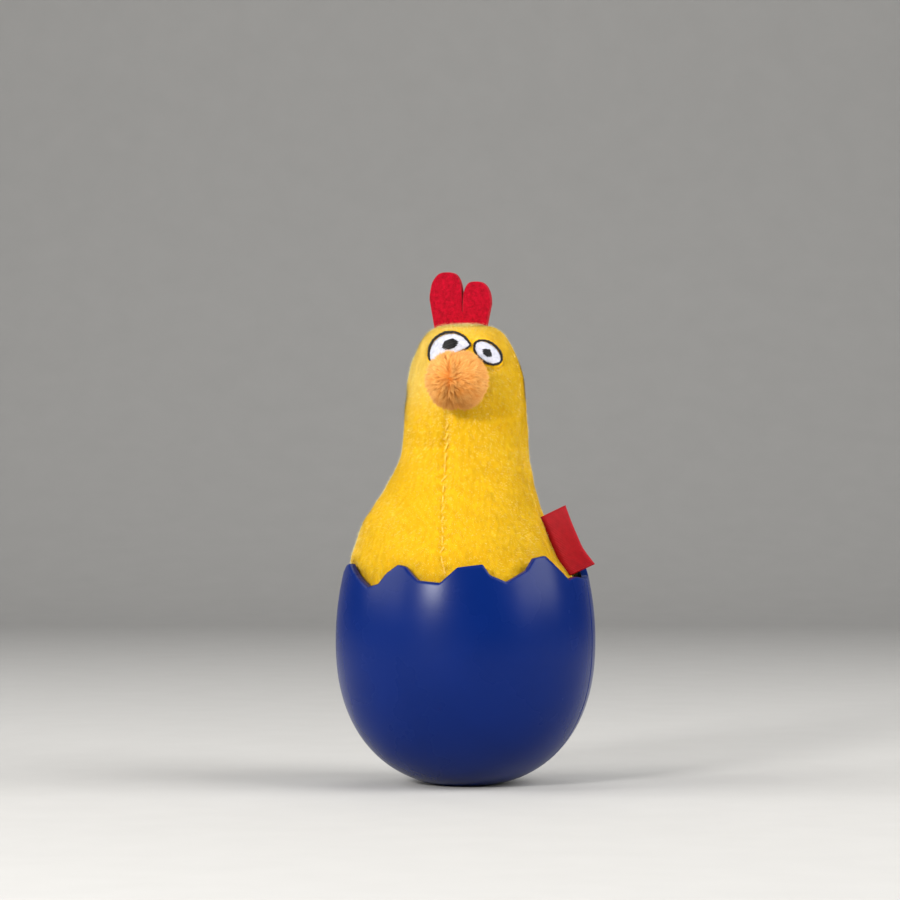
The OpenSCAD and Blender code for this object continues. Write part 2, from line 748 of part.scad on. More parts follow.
module bellows(inset) {
    r = squeaker_d / 2 - inset;
    low = squeaker_z + inset;
    high = squeaker_z + squeaker_h - inset;
    fold = (high - low) / 4;
    revolve([[0, low], [r - fold_depth, low], [r, low + fold], [r - fold_depth, low + 2 * fold],
             [r, high - fold], [r - fold_depth, high], [0, high]]);
}

module squeaker_bulb() {
    color(white_color)
    difference() {
        bellows(0);
        bellows(squeaker_wall);
        translate([0, 0, squeaker_z - 1]) cylinder(r = plug_r + fit_gap, h = squeaker_wall + 2);
    }
}

reed_w = 3.2;
reed_t = 0.2;
reed_l = 5;

module squeaker_plug() {
    bore = 1.5;
    color(plastic_color)
    difference() {
        union() {
            translate([0, 0, squeaker_z - plug_flange_t])
                cylinder(r = plug_r + 1.5, h = plug_flange_t - fit_gap / 2);
            translate([0, 0, squeaker_z - plug_flange_t]) cylinder(r = plug_r, h = 2 * plug_r);
        }
        translate([0, 0, squeaker_z - 2]) cylinder(r = bore, h = 3 * plug_r);
        translate([-reed_w / 2 - fit_gap, -reed_t / 2 - fit_gap / 2, squeaker_z + 0.5])
            cube([reed_w + 2 * fit_gap, reed_t + fit_gap, 3 * plug_r]);
    }
}

module squeaker_reed() {
    color(steel_color)
    translate([-reed_w / 2, -reed_t / 2, squeaker_z + 0.5 + fit_gap])
        cube([reed_w, reed_t, reed_l]);
}

egg_shell();
base_weight();
weight_cap();
retaining_ring();
lining_pouch();
plush_front();
plush_back();
body_stuffing();
front_seam_thread();
left_seam_thread();
right_seam_thread();
comb();
beak_left();
beak_right();
beak_stuffing();
left_eye_white();
left_eye_outline();
left_eye_pupil();
right_eye_white();
right_eye_outline();
right_eye_pupil();
side_label();
squeaker_bulb();
squeaker_plug();
squeaker_reed();
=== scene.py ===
"""Looks of a plush chick standing in a weighted rubber half egg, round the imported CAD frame.

The origin is the middle of the flat spot underneath, +Z is up and the front seam of the plush
faces -Y. Angles round the toy count from -Y towards +X. Left and right are as seen from the
front. Sizes here are in millimetres, and make_piece turns them into metres.
"""
import math

import bmesh
import bpy
import numpy as np
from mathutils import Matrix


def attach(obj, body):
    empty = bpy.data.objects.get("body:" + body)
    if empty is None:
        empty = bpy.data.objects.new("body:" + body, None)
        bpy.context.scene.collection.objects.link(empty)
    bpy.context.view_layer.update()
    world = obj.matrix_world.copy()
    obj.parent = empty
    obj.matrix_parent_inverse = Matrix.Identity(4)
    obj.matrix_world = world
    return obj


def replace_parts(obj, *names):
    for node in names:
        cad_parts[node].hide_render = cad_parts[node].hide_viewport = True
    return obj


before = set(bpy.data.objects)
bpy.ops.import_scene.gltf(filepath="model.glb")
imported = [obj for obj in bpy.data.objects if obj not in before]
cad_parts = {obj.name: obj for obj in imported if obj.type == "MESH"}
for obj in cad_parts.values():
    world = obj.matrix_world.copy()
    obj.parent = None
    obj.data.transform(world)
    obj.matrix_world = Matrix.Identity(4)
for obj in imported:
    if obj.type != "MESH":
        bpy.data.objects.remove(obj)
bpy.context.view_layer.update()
scene = bpy.context.scene
scene.view_settings.view_transform = "Standard"


# Camera: level, turned 15 degrees round the toy to its right, a metre away on a long lens.
CAMERA_TURN = math.radians(15)
camera_right = np.array([math.cos(CAMERA_TURN), math.sin(CAMERA_TURN), 0])
camera_back = np.array([math.sin(CAMERA_TURN), -math.cos(CAMERA_TURN), 0])
camera_data = bpy.data.cameras.new("camera")
camera_data.lens = 152.7
camera_data.sensor_width = 36
camera = bpy.data.objects.new("camera", camera_data)
camera.location = 1.0 * camera_back - 0.00406 * camera_right + np.array([0, 0, 0.0874])
camera.rotation_euler = (math.radians(90), 0, CAMERA_TURN)
scene.collection.objects.link(camera)
scene.camera = camera


# Studio: a pale grey floor that sweeps up into a backdrop, a small strip light at the left for
# the highlight on the shell, big soft lights high at either side, in front and behind, and a dim
# sky.
def linear(code):
    """Linear RGBA of a colour written as #rrggbb."""
    parts = [int(code[i:i + 2], 16) / 255 for i in (1, 3, 5)]
    return [c / 12.92 if c <= 0.04045 else ((c + 0.055) / 1.055) ** 2.4 for c in parts] + [1.0]


def add_node(tree, kind, settings=None, **inputs):
    """New node with its settings and its inputs: a socket links, anything else is a value.

    In an input's name an underscore stands for a space, and i4 is input number 4.
    """
    node = tree.nodes.new(kind)
    for name, value in (settings or {}).items():
        setattr(node, name, value)
    for name, value in inputs.items():
        key = int(name[1:]) if name[0] == "i" and name[1:].isdigit() else name.replace("_", " ")
        if isinstance(value, bpy.types.NodeSocket):
            tree.links.new(value, node.inputs[key])
        else:
            node.inputs[key].default_value = value
    return node


def new_material(name, **inputs):
    """Principled material; returns it, its tree and its shader."""
    material = bpy.data.materials.new(name)
    material.use_nodes = True
    tree = material.node_tree
    shader = tree.nodes["Principled BSDF"]
    for key, value in inputs.items():
        shader.inputs[key.replace("_", " ")].default_value = value
    return material, tree, shader


def make_piece(name, points, quads=(), tris=(), material=None):
    """Smooth object from points in mm and the vertex numbers of its quads and triangles."""
    quads, tris = np.asarray(quads, int).reshape(-1, 4), np.asarray(tris, int).reshape(-1, 3)
    starts = np.concatenate([np.arange(len(quads)) * 4, len(quads) * 4 + np.arange(len(tris)) * 3])
    loops = np.concatenate([quads.ravel(), tris.ravel()])
    mesh = bpy.data.meshes.new(name)
    mesh.vertices.add(len(points))
    mesh.vertices.foreach_set("co", (np.asarray(points) / 1000).ravel())
    mesh.loops.add(len(loops))
    mesh.loops.foreach_set("vertex_index", loops)
    mesh.polygons.add(len(starts))
    mesh.polygons.foreach_set("loop_start", starts)
    mesh.polygons.foreach_set("use_smooth", np.ones(len(starts), bool))
    mesh.update(calc_edges=True)
    piece = bpy.data.objects.new(name, mesh)
    scene.collection.objects.link(piece)
    if material:
        mesh.materials.append(material)
    return piece


# Matt paper: two greys so close that it looks plain, with soft clouds 17 mm wide
floor_material, tree, shader = new_material("floor", Roughness=0.85, Specular_IOR_Level=0.2)
place = add_node(tree, "ShaderNodeTexCoord").outputs["Object"]
cloud = add_node(tree, "ShaderNodeTexNoise", Vector=place, Scale=60.0, Detail=4.0)
tone = add_node(tree, "ShaderNodeMix", {"data_type": "RGBA"}, Factor=cloud.outputs["Fac"],
                A=linear("#b1b0ae"), B=linear("#b7b6b4"))
tree.links.new(tone.outputs["Result"], shader.inputs["Base Color"])
half_width, depth_front, depth_back, rise, bend = 3000, 1800, 900, 2500, 500
turn = np.linspace(0, math.pi / 2, 13)
profile = np.concatenate([[[-depth_front, 0]],
                          np.stack([depth_back + bend * np.sin(turn), bend * (1 - np.cos(turn))], 1),
                          [[depth_back + bend, rise]]])
sides = np.array([-half_width, half_width])
sweep = (profile[:, None, :1] * -camera_back + sides[None, :, None] * camera_right
         + profile[:, None, 1:] * np.array([0, 0, 1.0]))
index = np.arange(len(profile) * 2).reshape(-1, 2)
backdrop = make_piece("backdrop", sweep.reshape(-1, 3), material=floor_material, quads=np.stack(
    [index[:-1, 0], index[:-1, 1], index[1:, 1], index[1:, 0]], 1))


def add_light(name, turn, height, distance, wide, tall, power, color):
    """Area light turned some degrees from the camera's direction, aimed at the toy's middle.

    Its height, its distance from the toy and its size are in metres.
    """
    data = bpy.data.lights.new(name, "AREA")
    data.shape = "RECTANGLE"
    data.size, data.size_y, data.energy, data.color = wide, tall, power, color
    light = bpy.data.objects.new(name, data)
    angle = CAMERA_TURN + math.radians(turn)
    place = np.array([distance * math.sin(angle), -distance * math.cos(angle), height])
    light.location = place
    aim = np.array([0, 0, 0.065]) - place
    tilt = math.atan2(np.hypot(aim[0], aim[1]), -aim[2])
    light.rotation_euler = (tilt, 0, math.atan2(aim[1], aim[0]) - math.pi / 2)
    scene.collection.objects.link(light)


add_light("key_light", -31, 0.38, 0.9, 0.21, 0.09, 7.8, (1.0, 0.985, 0.96))
add_light("left_light", -80, 0.52, 0.75, 0.7, 0.7, 7.2, (1.0, 0.99, 0.97))
add_light("front_light", 10, 1.0, 0.6, 0.7, 0.7, 0.8, (1.0, 0.99, 0.97))
add_light("right_light", 70, 0.52, 0.75, 0.7, 0.7, 10.5, (1.0, 0.99, 0.97))
add_light("back_light", 175, 0.8, 0.4, 0.5, 0.5, 1.5, (1.0, 1.0, 1.0))
world = bpy.data.worlds.new("sky")
world.use_nodes = True
world.node_tree.nodes["Background"].inputs["Color"].default_value = linear("#f2f3f6")
world.node_tree.nodes["Background"].inputs["Strength"].default_value = 0.17
scene.world = world


# Rubber half egg: moulded in royal blue with a satin skin, its rim cut into broken-shell teeth
# and a parting line up either side. One closed skin, the hollow for the weight included.
def smooth(x):
    """Eases a share from 0 to 1 so that it starts and ends level."""
    u = np.clip(x, 0, 1)
    return u * u * (3 - 2 * u)


def around(r, a, z):
    """Points at radius r and height z, turned a radians from the front."""
    r, a, z = np.broadcast_arrays(r, a, z)
    return np.stack([r * np.sin(a), -r * np.cos(a), z], -1)


def grid_quads(rows, columns, ring=False, first=0):
    """Quads of a grid of points stored row by row; a ring's last column joins its first."""
    index = first + np.arange(rows * columns).reshape(rows, columns)
    if ring:
        index = np.concatenate([index, index[:, :1]], 1)
    return np.stack([index[:-1, :-1], index[:-1, 1:], index[1:, 1:], index[1:, :-1]], -1).reshape(-1, 4)


def fans(rows, columns):
    """Triangles that close a ring grid at its first and last row, to the two points after it."""
    ring, after, last = np.arange(columns), (np.arange(columns) + 1) % columns, (rows - 1) * columns
    return np.concatenate([np.stack([0 * ring + rows * columns, after, ring], 1),
                           np.stack([0 * ring + rows * columns + 1, last + ring, last + after], 1)])


SHELL_R, BELLY_Z, BOWL_POWER, FOOT_R, SIDE_ARC_R = 34, 37.6, 2.28, 8, 78
SHELL_WALL, RIM_WALL, VALLEY_Z, TOOTH_H = 2.8, 1.6, 52.2, 8.1
WEIGHT_R, WEIGHT_Z, WEIGHT_H, CAP_T, CAP_LEDGE = 16, 6.5, 9.6, 2.4, 4
RING_Z, RING_H, BEAD_Z, BEAD_H, BEAD_DEPTH, FIT_GAP = 43.5, 4.5, 43.75, 2, 0.9, 0.15
RIM_TOP = VALLEY_Z + TOOTH_H
BOWL_H = BELLY_Z / (1 - (FOOT_R / SHELL_R) ** BOWL_POWER) ** (1 / BOWL_POWER)


def shell_outer(z):
    """Outer radius: a superellipse below the widest ring and an arc of SIDE_ARC_R above it."""
    depth = np.maximum(0, BELLY_Z - z) / BOWL_H
    low = SHELL_R * np.maximum(0, 1 - depth ** BOWL_POWER) ** (1 / BOWL_POWER)
    arc = SHELL_R - SIDE_ARC_R + np.sqrt(SIDE_ARC_R ** 2 - (z - BELLY_Z) ** 2)
    return np.where(z < BELLY_Z, low, arc)


def shell_inner(z):
    """Inner radius: the wall thins evenly from the widest ring to the rim."""
    depth = np.maximum(0, BELLY_Z - z) / (BOWL_H - SHELL_WALL)
    low = (SHELL_R - SHELL_WALL) * np.maximum(0, 1 - depth ** BOWL_POWER) ** (1 / BOWL_POWER)
    return np.where(z < BELLY_Z, low, shell_outer(z) - SHELL_WALL
                    + (SHELL_WALL - RIM_WALL) * (z - BELLY_Z) / (RIM_TOP - BELLY_Z))


# Broken line of the rim: angle from the front and share of the tallest tooth
rim_line = np.array([
    [-66, 0.65], [-60, 0.7], [-36, 0], [-29, 0.12], [-25, 0.46], [-19, 0.73], [-15, 0.67], [-8, 0.25],
    [3, 0.18], [11, 0.67], [23, 0.76], [26, 0.43], [34, 0.2], [45, 0.56], [50, 0.93], [57, 1], [71, 0.22],
    [79, 0.3], [93, 0.2], [104, 0.27], [111, 0.78], [117, 0.83], [126, 0.35], [134, 0.15], [143, 0.6],
    [155, 0.92], [160, 0.5], [170, 0.1], [178, 0.35], [186, 0.7], [191, 0.62], [200, 0.17], [209, 0.45],
    [217, 0.95], [224, 0.8], [233, 0.22], [241, 0.1], [249, 0.65], [254, 0.72], [262, 0.22], [270, 0.12],
    [278, 0.42], [285, 0.46], [289, 0.38]])
fine = np.arange(-90, 270, 0.05)
rim = np.interp(fine, rim_line[:, 0], VALLEY_Z + TOOTH_H * rim_line[:, 1], period=360)
kernel = np.exp(-(np.arange(-30, 31) / 10) ** 2)
rim = np.convolve(np.concatenate([rim[-30:], rim, rim[:30]]), kernel / kernel.sum(), "valid")

# Columns every half degree, closer at the parting lines at 90 and 270 degrees
seam_offsets = np.array([-0.8, -0.5, -0.3, -0.15, 0, 0.15, 0.3, 0.5, 0.8])
degrees = np.arange(-89, 271, 0.5)
degrees = degrees[np.abs((degrees % 180) - 90) > 1]
degrees = np.sort(np.concatenate([degrees, 90 + seam_offsets, 270 + seam_offsets]))
rim_z = np.interp((degrees + 90) % 360 - 90, fine, rim)[None, :]
angles = np.radians(degrees)[None, :]

# Rows from the foot up the outside, over the rim's rounded edge, and down the inside
EDGE, LEVEL_TOP, WALL_FOOT = 0.3, 47, 46
low_z = BELLY_Z * (1 - np.cos(np.linspace(0, math.pi / 2, 30)))
low_z = np.concatenate([[0, 0], low_z[1:], np.linspace(BELLY_Z, LEVEL_TOP, 10)[1:]])[:, None] + 0 * rim_z
top_z = LEVEL_TOP + (rim_z - EDGE - LEVEL_TOP) * np.linspace(0, 1, 14)[1:, None]
outer_z = np.concatenate([low_z, top_z])
outer_r = shell_outer(outer_z)
outer_r[0] = FOOT_R / 2
seam_dent = 0.3 * np.exp(-((degrees[None, :] % 180 - 90) / 0.35) ** 2)
outer_r = outer_r - seam_dent * np.clip(outer_z / 5, 0, 1)
bend = np.linspace(0, math.pi / 2, 5)[1:, None]
edge_out = shell_outer(rim_z) - EDGE * (1 - np.cos(bend)) - seam_dent
edge_in = shell_inner(rim_z) + EDGE * (1 - np.sin(bend))
wall_z = rim_z - EDGE + (WALL_FOOT - rim_z + EDGE) * np.linspace(0, 1, 8)[1:, None]
RING_TOP = RING_Z + RING_H
groove_r = float(shell_inner(np.array(RING_TOP))) + BEAD_DEPTH
pocket_r, pocket_z = WEIGHT_R + FIT_GAP, WEIGHT_Z + WEIGHT_H + FIT_GAP
recess_r, recess_z = pocket_r + CAP_LEDGE, pocket_z + CAP_T
bowl_z = np.array([RING_Z, 36, 28, 22, recess_z])
hidden = np.concatenate([
    [[groove_r, BEAD_Z + BEAD_H + FIT_GAP], [groove_r, BEAD_Z - FIT_GAP]],
    np.stack([shell_inner(bowl_z), bowl_z], 1),
    [[recess_r, recess_z], [recess_r, pocket_z], [pocket_r, pocket_z], [pocket_r, WEIGHT_Z],
     [FOOT_R, WEIGHT_Z]]])
radius = np.concatenate([outer_r, edge_out, edge_in, shell_inner(wall_z), hidden[:, :1] + 0 * rim_z])
level = np.concatenate([outer_z, rim_z - EDGE * (1 - np.sin(bend)), rim_z - EDGE * (1 - np.cos(bend)),
                        wall_z, hidden[:, 1:] + 0 * rim_z])
grid = around(radius, angles, level)
rows, columns = radius.shape
points = np.concatenate([grid.reshape(-1, 3), [[0, 0, 0], [0, 0, WEIGHT_Z]]])

# Moulded rubber: satin, deep in colour with a dim shine. Clouds 22 mm wide vary its tone and its
# gloss, a grain of 0.4 mm breaks up the shine, and level streaks 0.7 mm high are wiping marks.
shell_material, tree, shader = new_material("blue_rubber", Roughness=0.28, Specular_IOR_Level=0.14)
place = add_node(tree, "ShaderNodeTexCoord").outputs["Object"]
cloud = add_node(tree, "ShaderNodeTexNoise", Vector=place, Scale=45.0, Detail=4.0)
stretch = add_node(tree, "ShaderNodeMapping", Vector=place, Scale=(30, 30, 1400))
scuff = add_node(tree, "ShaderNodeTexNoise", Vector=stretch.outputs["Vector"], Scale=1.0, Detail=3.0)
skin = add_node(tree, "ShaderNodeTexNoise", Vector=place, Scale=2600.0, Detail=2.0)
tone = add_node(tree, "ShaderNodeMix", {"data_type": "RGBA"}, Factor=cloud.outputs["Fac"],
                A=linear("#011954"), B=linear("#022066"))
tree.links.new(tone.outputs["Result"], shader.inputs["Base Color"])
rough = add_node(tree, "ShaderNodeMapRange", Value=cloud.outputs["Fac"],
                 From_Min=0.3, From_Max=0.7, To_Min=0.24, To_Max=0.31)
tree.links.new(rough.outputs["Result"], shader.inputs["Roughness"])
relief = add_node(tree, "ShaderNodeBump", Height=skin.outputs["Fac"], Strength=0.08, Distance=0.0001)
streak = add_node(tree, "ShaderNodeBump", Height=scuff.outputs["Fac"], Strength=0.01, Distance=0.0002,
                  Normal=relief.outputs["Normal"])
tree.links.new(streak.outputs["Normal"], shader.inputs["Normal"])
shell = make_piece("egg_shell_skin", points, grid_quads(rows, columns, ring=True), fans(rows, columns),
                   shell_material)
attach(shell, "root")
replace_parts(shell, "egg_shell")


# Hidden hard pieces keep their CAD shape: cast iron weight, white plastic cap and ring, and the
# squeaker's bellows, plug and reed. Each gets its own finish.
def finish_node(name, material):
    """Gives a carried-over CAD node one material on every slot."""
    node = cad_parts[name]
    if not node.material_slots:
        node.data.materials.append(material)
    for slot in node.material_slots:
        slot.material = material


def speckled(name, low, high, grains, bump, depth=0.0003, detail=5.0, **inputs):
    """Material that varies between two tones over a noise, with relief to match.

    The noise has so many grains to the metre, and the relief's depth is in metres.
    """
    material, tree, shader = new_material(name, **inputs)
    place = add_node(tree, "ShaderNodeTexCoord").outputs["Object"]
    noise = add_node(tree, "ShaderNodeTexNoise", Vector=place, Scale=grains, Detail=detail)
    tone = add_node(tree, "ShaderNodeMix", {"data_type": "RGBA"}, Factor=noise.outputs["Fac"],
                    A=linear(low), B=linear(high))
    tree.links.new(tone.outputs["Result"], shader.inputs["Base Color"])
    relief = add_node(tree, "ShaderNodeBump", Height=noise.outputs["Fac"], Strength=bump, Distance=depth)
    tree.links.new(relief.outputs["Normal"], shader.inputs["Normal"])
    return material


# Cast iron is rough and dark, moulded plastic nearly plain, spring metal fine and bright, loose
# polyester filling deeply tufted, and the lining a fine cloth
white_plastic = speckled("white_plastic", "#dcdcd6", "#e6e6e1", 700.0, 0.1, Roughness=0.4)
for name in ("weight_cap", "retaining_ring", "squeaker_plug"):
    finish_node(name, white_plastic)
for name, finish, low, high, grains, bump, roughness, metallic in (
        ("base_weight", "cast_iron", "#5b5e62", "#83868b", 900.0, 0.5, 0.5, 1.0),
        ("squeaker_bulb", "bulb_plastic", "#e8e8e6", "#f2f2f1", 400.0, 0.1, 0.35, 0.0),
        ("squeaker_reed", "reed_metal", "#8c9094", "#a3a7ab", 1500.0, 0.1, 0.3, 1.0),
        ("body_stuffing", "body_filling", "#ebebe8", "#fafaf8", 500.0, 1.0, 0.95, 0.0),
        ("beak_stuffing", "beak_filling", "#ebebe8", "#fafaf8", 500.0, 1.0, 0.95, 0.0),
        ("lining_pouch", "lining_cloth", "#e2e1dc", "#f2f1ec", 1600.0, 0.6, 0.9, 0.0)):
    finish_node(name, speckled(finish, low, high, grains, bump, Roughness=roughness, Metallic=metallic))


# Plush body: two panels of short-pile yellow plush over the filling, sewn up the sides and
# below the beak. Each panel is a closed skin with its pile standing on it as fine blades.
HEAD_TOP, NECK_R, NECK_Z, HEAD_TAPER = 120.7, 17, 88.5, 0.09
BULGE_R, BULGE_Z, BODY_LEAN, PLUSH_T, SEAM_HALF_W, SEAM_DEPTH = SHELL_R - 3.5, 49, 2.8, 1.8, 1.5, 0.8
HEM_Z, HEAD_H = RING_TOP + FIT_GAP, HEAD_TOP - NECK_Z
LEAN_FROM = HEM_Z + (NECK_Z - HEM_Z) / 16
BEAK_Z, BEAK_R = HEAD_TOP - 15.4, 7.85
FRONT_SEAM_TOP = BEAK_Z - BEAK_R
SIDE_DEPTH, STITCH_PITCH, STITCH_L = 0.55 * SEAM_DEPTH, 2.6, 1.9
PILE = 0.65
lean_way = around(1.0, math.radians(-75), 0.0)


def plush_radius(z):
    """Radius of the plush: shoulders that fill the rim, a smooth neck and a squarish dome."""
    u = np.clip((z - NECK_Z) / HEAD_H, 0, 1)
    head = (NECK_R - HEAD_TAPER * HEAD_H * u) * (1 - u ** 4) ** 0.25
    w = np.clip((NECK_Z - z) / (NECK_Z - BULGE_Z), 0, 1)
    return np.where(z >= NECK_Z, head, NECK_R + (BULGE_R - NECK_R) * (0.6 * smooth(w) + 0.4 * w))


def leaning(r, a, z, out):
    """Points round the body's middle, which leans to the left above the rim.

    Their distance from the axis goes over softly into the room that the wall leaves, and grows
    again above the rim's local height, so that the plush swells a little over its edge.
    """
    lean = BODY_LEAN * smooth((NECK_Z - z) / 25) * smooth((z - LEAN_FROM) / (RIM_TOP - LEAN_FROM))
    p = around(r, a, z) + lean[..., None] * lean_way
    far = np.maximum(np.hypot(p[..., 0], p[..., 1]), 1e-6)
    here = np.interp(np.degrees(np.arctan2(p[..., 0], -p[..., 1])), fine, rim, period=360)
    room = shell_inner(np.minimum(z, RIM_TOP)) - FIT_GAP + out + 0.6 * np.maximum(0, z - here)
    ease = 0.3
    near = -ease * np.logaddexp(-far / ease, -room / ease)
    p[..., :2] *= (near / far)[..., None]
    return p


def side_seam(z):
    """Angle of the side seams in degrees: they meet over the head and turn back below the neck."""
    return 75 + 15 * smooth((z - NECK_Z) / 25) + 20 * smooth((100 - z) / 45)


def front_seam(z):
    """Angle of the front seam in degrees: it runs straight below the beak, seen from the face."""
    return -3.5 + 11 * smooth((NECK_Z - z) / 25)


def ripple(p, size, seed):
    """Smooth random field from -1 to 1 over points in mm: ten sine waves about size mm long."""
    rng = np.random.default_rng(seed)
    waves = rng.normal(size=(10, 3))
    waves *= (2 * math.pi / size * rng.uniform(0.7, 1.4, 10) / np.linalg.norm(waves, axis=1))[:, None]
    return np.tanh(np.sin(p @ waves.T + rng.uniform(0, 2 * math.pi, 10)).sum(-1) / 4)


def plush_normal(z):
    """Radial and upward parts of the normal of the plain profile."""
    slope = (plush_radius(np.minimum(z + 0.05, HEAD_TOP)) - plush_radius(z - 0.05)) / 0.1
    size = np.sqrt(1 + slope ** 2)
    return 1 / size, -slope / size


def on_plush(a, z, out):
    """Points of the plush at angle a in radians and height z, a distance out along the normal."""
    n_r, n_z = plush_normal(z)
    return leaning(plush_radius(z) + out * n_r, a, z + out * n_z, out)


FACE_TURN = math.radians(15)


def on_face(x, z, out):
    """The same for a place seen x to the side of the middle of the face, which is turned."""
    return on_plush(FACE_TURN + np.arcsin(x / plush_radius(z)), z, out)


def side_depth(z):
    """Depth of the side seams' creases, shallower up the neck and over the head."""
    return SIDE_DEPTH - 0.3 * SEAM_DEPTH * smooth((z - 86) / 8)


def fullness(a, z):
    """What the filling adds at the sides of the shoulders and of the head.

    A bell curve in angle, 35 degrees wide, times one in height, 9 mm wide, at each of the four.
    """
    left, right = (np.exp(-((a - math.radians(middle)) / 0.61) ** 2) for middle in (-75, 105))
    shoulder, head = np.exp(-((z - 69) / 9) ** 2), np.exp(-((z - 105) / 9) ** 2)
    return left * (1.0 * shoulder + 0.6 * head) + right * (0.5 * shoulder + 0.95 * head)


def crease(a, z):
    """Depth that the seams draw into the plush: a bell across each seam.

    Beside the front seam it rises and falls once for each stitch, as cloth puckers there.
    """
    r = plush_radius(z)
    to_front = r * (a - np.radians(front_seam(z)))
    to_side = r * (np.abs(a) - np.radians(side_seam(z)))
    sewn = smooth((FRONT_SEAM_TOP + 2 - z) / 4)
    front = np.exp(-(to_front / SEAM_HALF_W) ** 2) * sewn
    side = np.exp(-(to_side / SEAM_HALF_W) ** 2) * smooth((HEAD_TOP - z) / 4)
    pucker = np.exp(-(np.abs(to_front) - 1.0) ** 2 / 0.8) * np.cos(2 * math.pi * z / STITCH_PITCH) * sewn
    return np.maximum(SEAM_DEPTH * front, side_depth(z) * side) + 0.105 * pucker


# Eyes, needed here because the pile is pressed flat under them: each eye's middle across and up
# the face and its tilt in degrees, then half widths and heights
LEFT_EYE, RIGHT_EYE = (-3.9, BEAK_Z + 7.1, 22), (5.6, BEAK_Z + 7.2, -37)
LEFT_EYE_W, LEFT_EYE_H, LOWER_LID, RIGHT_EYE_W, RIGHT_EYE_H = 5.2, 5.1, 0.6, 3.7, 2.3


def face_to_eye(x, z, eye):
    """Face coordinates as seen in an eye's own frame."""
    tilt = math.radians(eye[2])
    dx, dz = x - eye[0], z - eye[1]
    return dx * math.cos(tilt) + dz * math.sin(tilt), -dx * math.sin(tilt) + dz * math.cos(tilt)


def eye_cover(a, z):
    """How far a place lies under the embroidery, from 0 to 1: ellipses that a margin makes larger."""
    x = plush_radius(z) * np.sin(a - FACE_TURN)
    in_front = np.cos(a - FACE_TURN) > 0.2
    margin = 0.9
    u, v = face_to_eye(x, z, LEFT_EYE)
    left = np.hypot(u / (LEFT_EYE_W + margin), v / (np.where(v > 0, LEFT_EYE_H, LOWER_LID) + margin))
    u, v = face_to_eye(x, z, RIGHT_EYE)
    right = np.hypot(u / (RIGHT_EYE_W + margin), v / (RIGHT_EYE_H + margin))
    return in_front * smooth((1.12 - np.minimum(left, right)) / 0.12)


def unit(v):
    """Vectors made 1 long."""
    return v / np.maximum(np.linalg.norm(v, axis=-1, keepdims=True), 1e-9)


# The filled body swells for twenty frames as cloth under pressure, held at the hem, the seams and
# the eyes. The force is high because the faces are only 2 to 3 mm wide. What a whole ring moves
# is already in the profile, and the rest shapes the skin.
swell_z = np.concatenate([np.linspace(HEM_Z, NECK_Z, 18)[:-1],
                          NECK_Z + HEAD_H * np.sqrt(np.sin(np.radians(np.linspace(0, 84, 13))))])
swell_angles = np.radians(np.arange(-180, 180, 5))


def swelling():
    """Grid of movements outwards in mm, rows by swell_z and columns by swell_angles."""
    rows, columns = len(swell_z), len(swell_angles)
    a, z = swell_angles[None, :] + 0 * swell_z[:, None], swell_z[:, None] + 0 * swell_angles[None, :]
    start = on_plush(a, z, -crease(a, z))
    outward = unit(on_plush(a, z, 1 + 0 * a) - on_plush(a, z, 0 * a))
    points = np.concatenate([start.reshape(-1, 3), [[0, 0, HEM_Z], [0, 0, HEAD_TOP]]])
    body = make_piece("body_cloth", points, grid_quads(rows, columns, ring=True), fans(rows, columns))
    hold = np.maximum(np.clip(crease(a, z) / (0.5 * SEAM_DEPTH), 0, 1), eye_cover(a, z))
    hold = np.where((z < RIM_TOP) | (z > HEAD_TOP - 4), 1, hold).ravel()
    held = body.vertex_groups.new(name="held")
    for corner in np.nonzero(hold > 0.05)[0]:
        held.add([int(corner)], float(hold[corner]), "REPLACE")
    held.add([len(points) - 2, len(points) - 1], 1.0, "REPLACE")
    settings = body.modifiers.new("cloth", "CLOTH").settings
    settings.use_pressure = True
    settings.uniform_pressure_force = 1500
    settings.effector_weights.gravity = 0
    settings.vertex_group_mass = "held"
    for frame_number in range(1, 21):
        scene.frame_set(frame_number)
    moved = np.empty(len(points) * 3, np.float32)
    body.evaluated_get(bpy.context.evaluated_depsgraph_get()).data.vertices.foreach_get("co", moved)
    scene.frame_set(1)
    mesh = body.data
    bpy.data.objects.remove(body)
    bpy.data.meshes.remove(mesh)
    out = ((moved.reshape(-1, 3)[:-2].reshape(start.shape) * 1000 - start) * outward).sum(-1)
    return np.clip(out - out.mean(1, keepdims=True), -1.2, 1.2)


swell_grid = swelling()
swell_grid = np.concatenate([swell_grid, swell_grid[:, :1]], 1)


def in_cell(values, row, column, s, t):
    """Values of a grid a share s from one row to the next and a share t between its columns."""
    return ((1 - s) * (1 - t) * values[row, column] + s * (1 - t) * values[row + 1, column]
            + (1 - s) * t * values[row, column + 1] + s * t * values[row + 1, column + 1])


def swell(a, z):
    """Movement outwards at angle a and height z, linear between the places of the grid."""
    across = (np.degrees(a) + 180) % 360 / 5
    up = np.interp(z, swell_z, np.arange(len(swell_z)))
    row = np.minimum(up.astype(int), len(swell_z) - 2)
    column = np.minimum(across.astype(int), len(swell_angles) - 1)
    return in_cell(swell_grid, row, column, up - row, across - column)


def skin_point(a, z, out):
    """Point of the plush skin with its creases, soft unevenness and flattened eye patches."""
    base = on_plush(a, z, 0 * z)
    cover = eye_cover(a, z)
    uneven = 0.28 * ripple(base, 17, 3) + 0.14 * ripple(base, 7, 4) + swell(a, z) * (1 - cover)
    uneven = (uneven + fullness(a, z)) * smooth((z - RIM_TOP) / 8) * smooth((HEAD_TOP - z) / 6)
    pressed = PILE * (1 - 0.85 * cover)
    return on_plush(a, z, out - crease(a, z) + uneven - pressed)


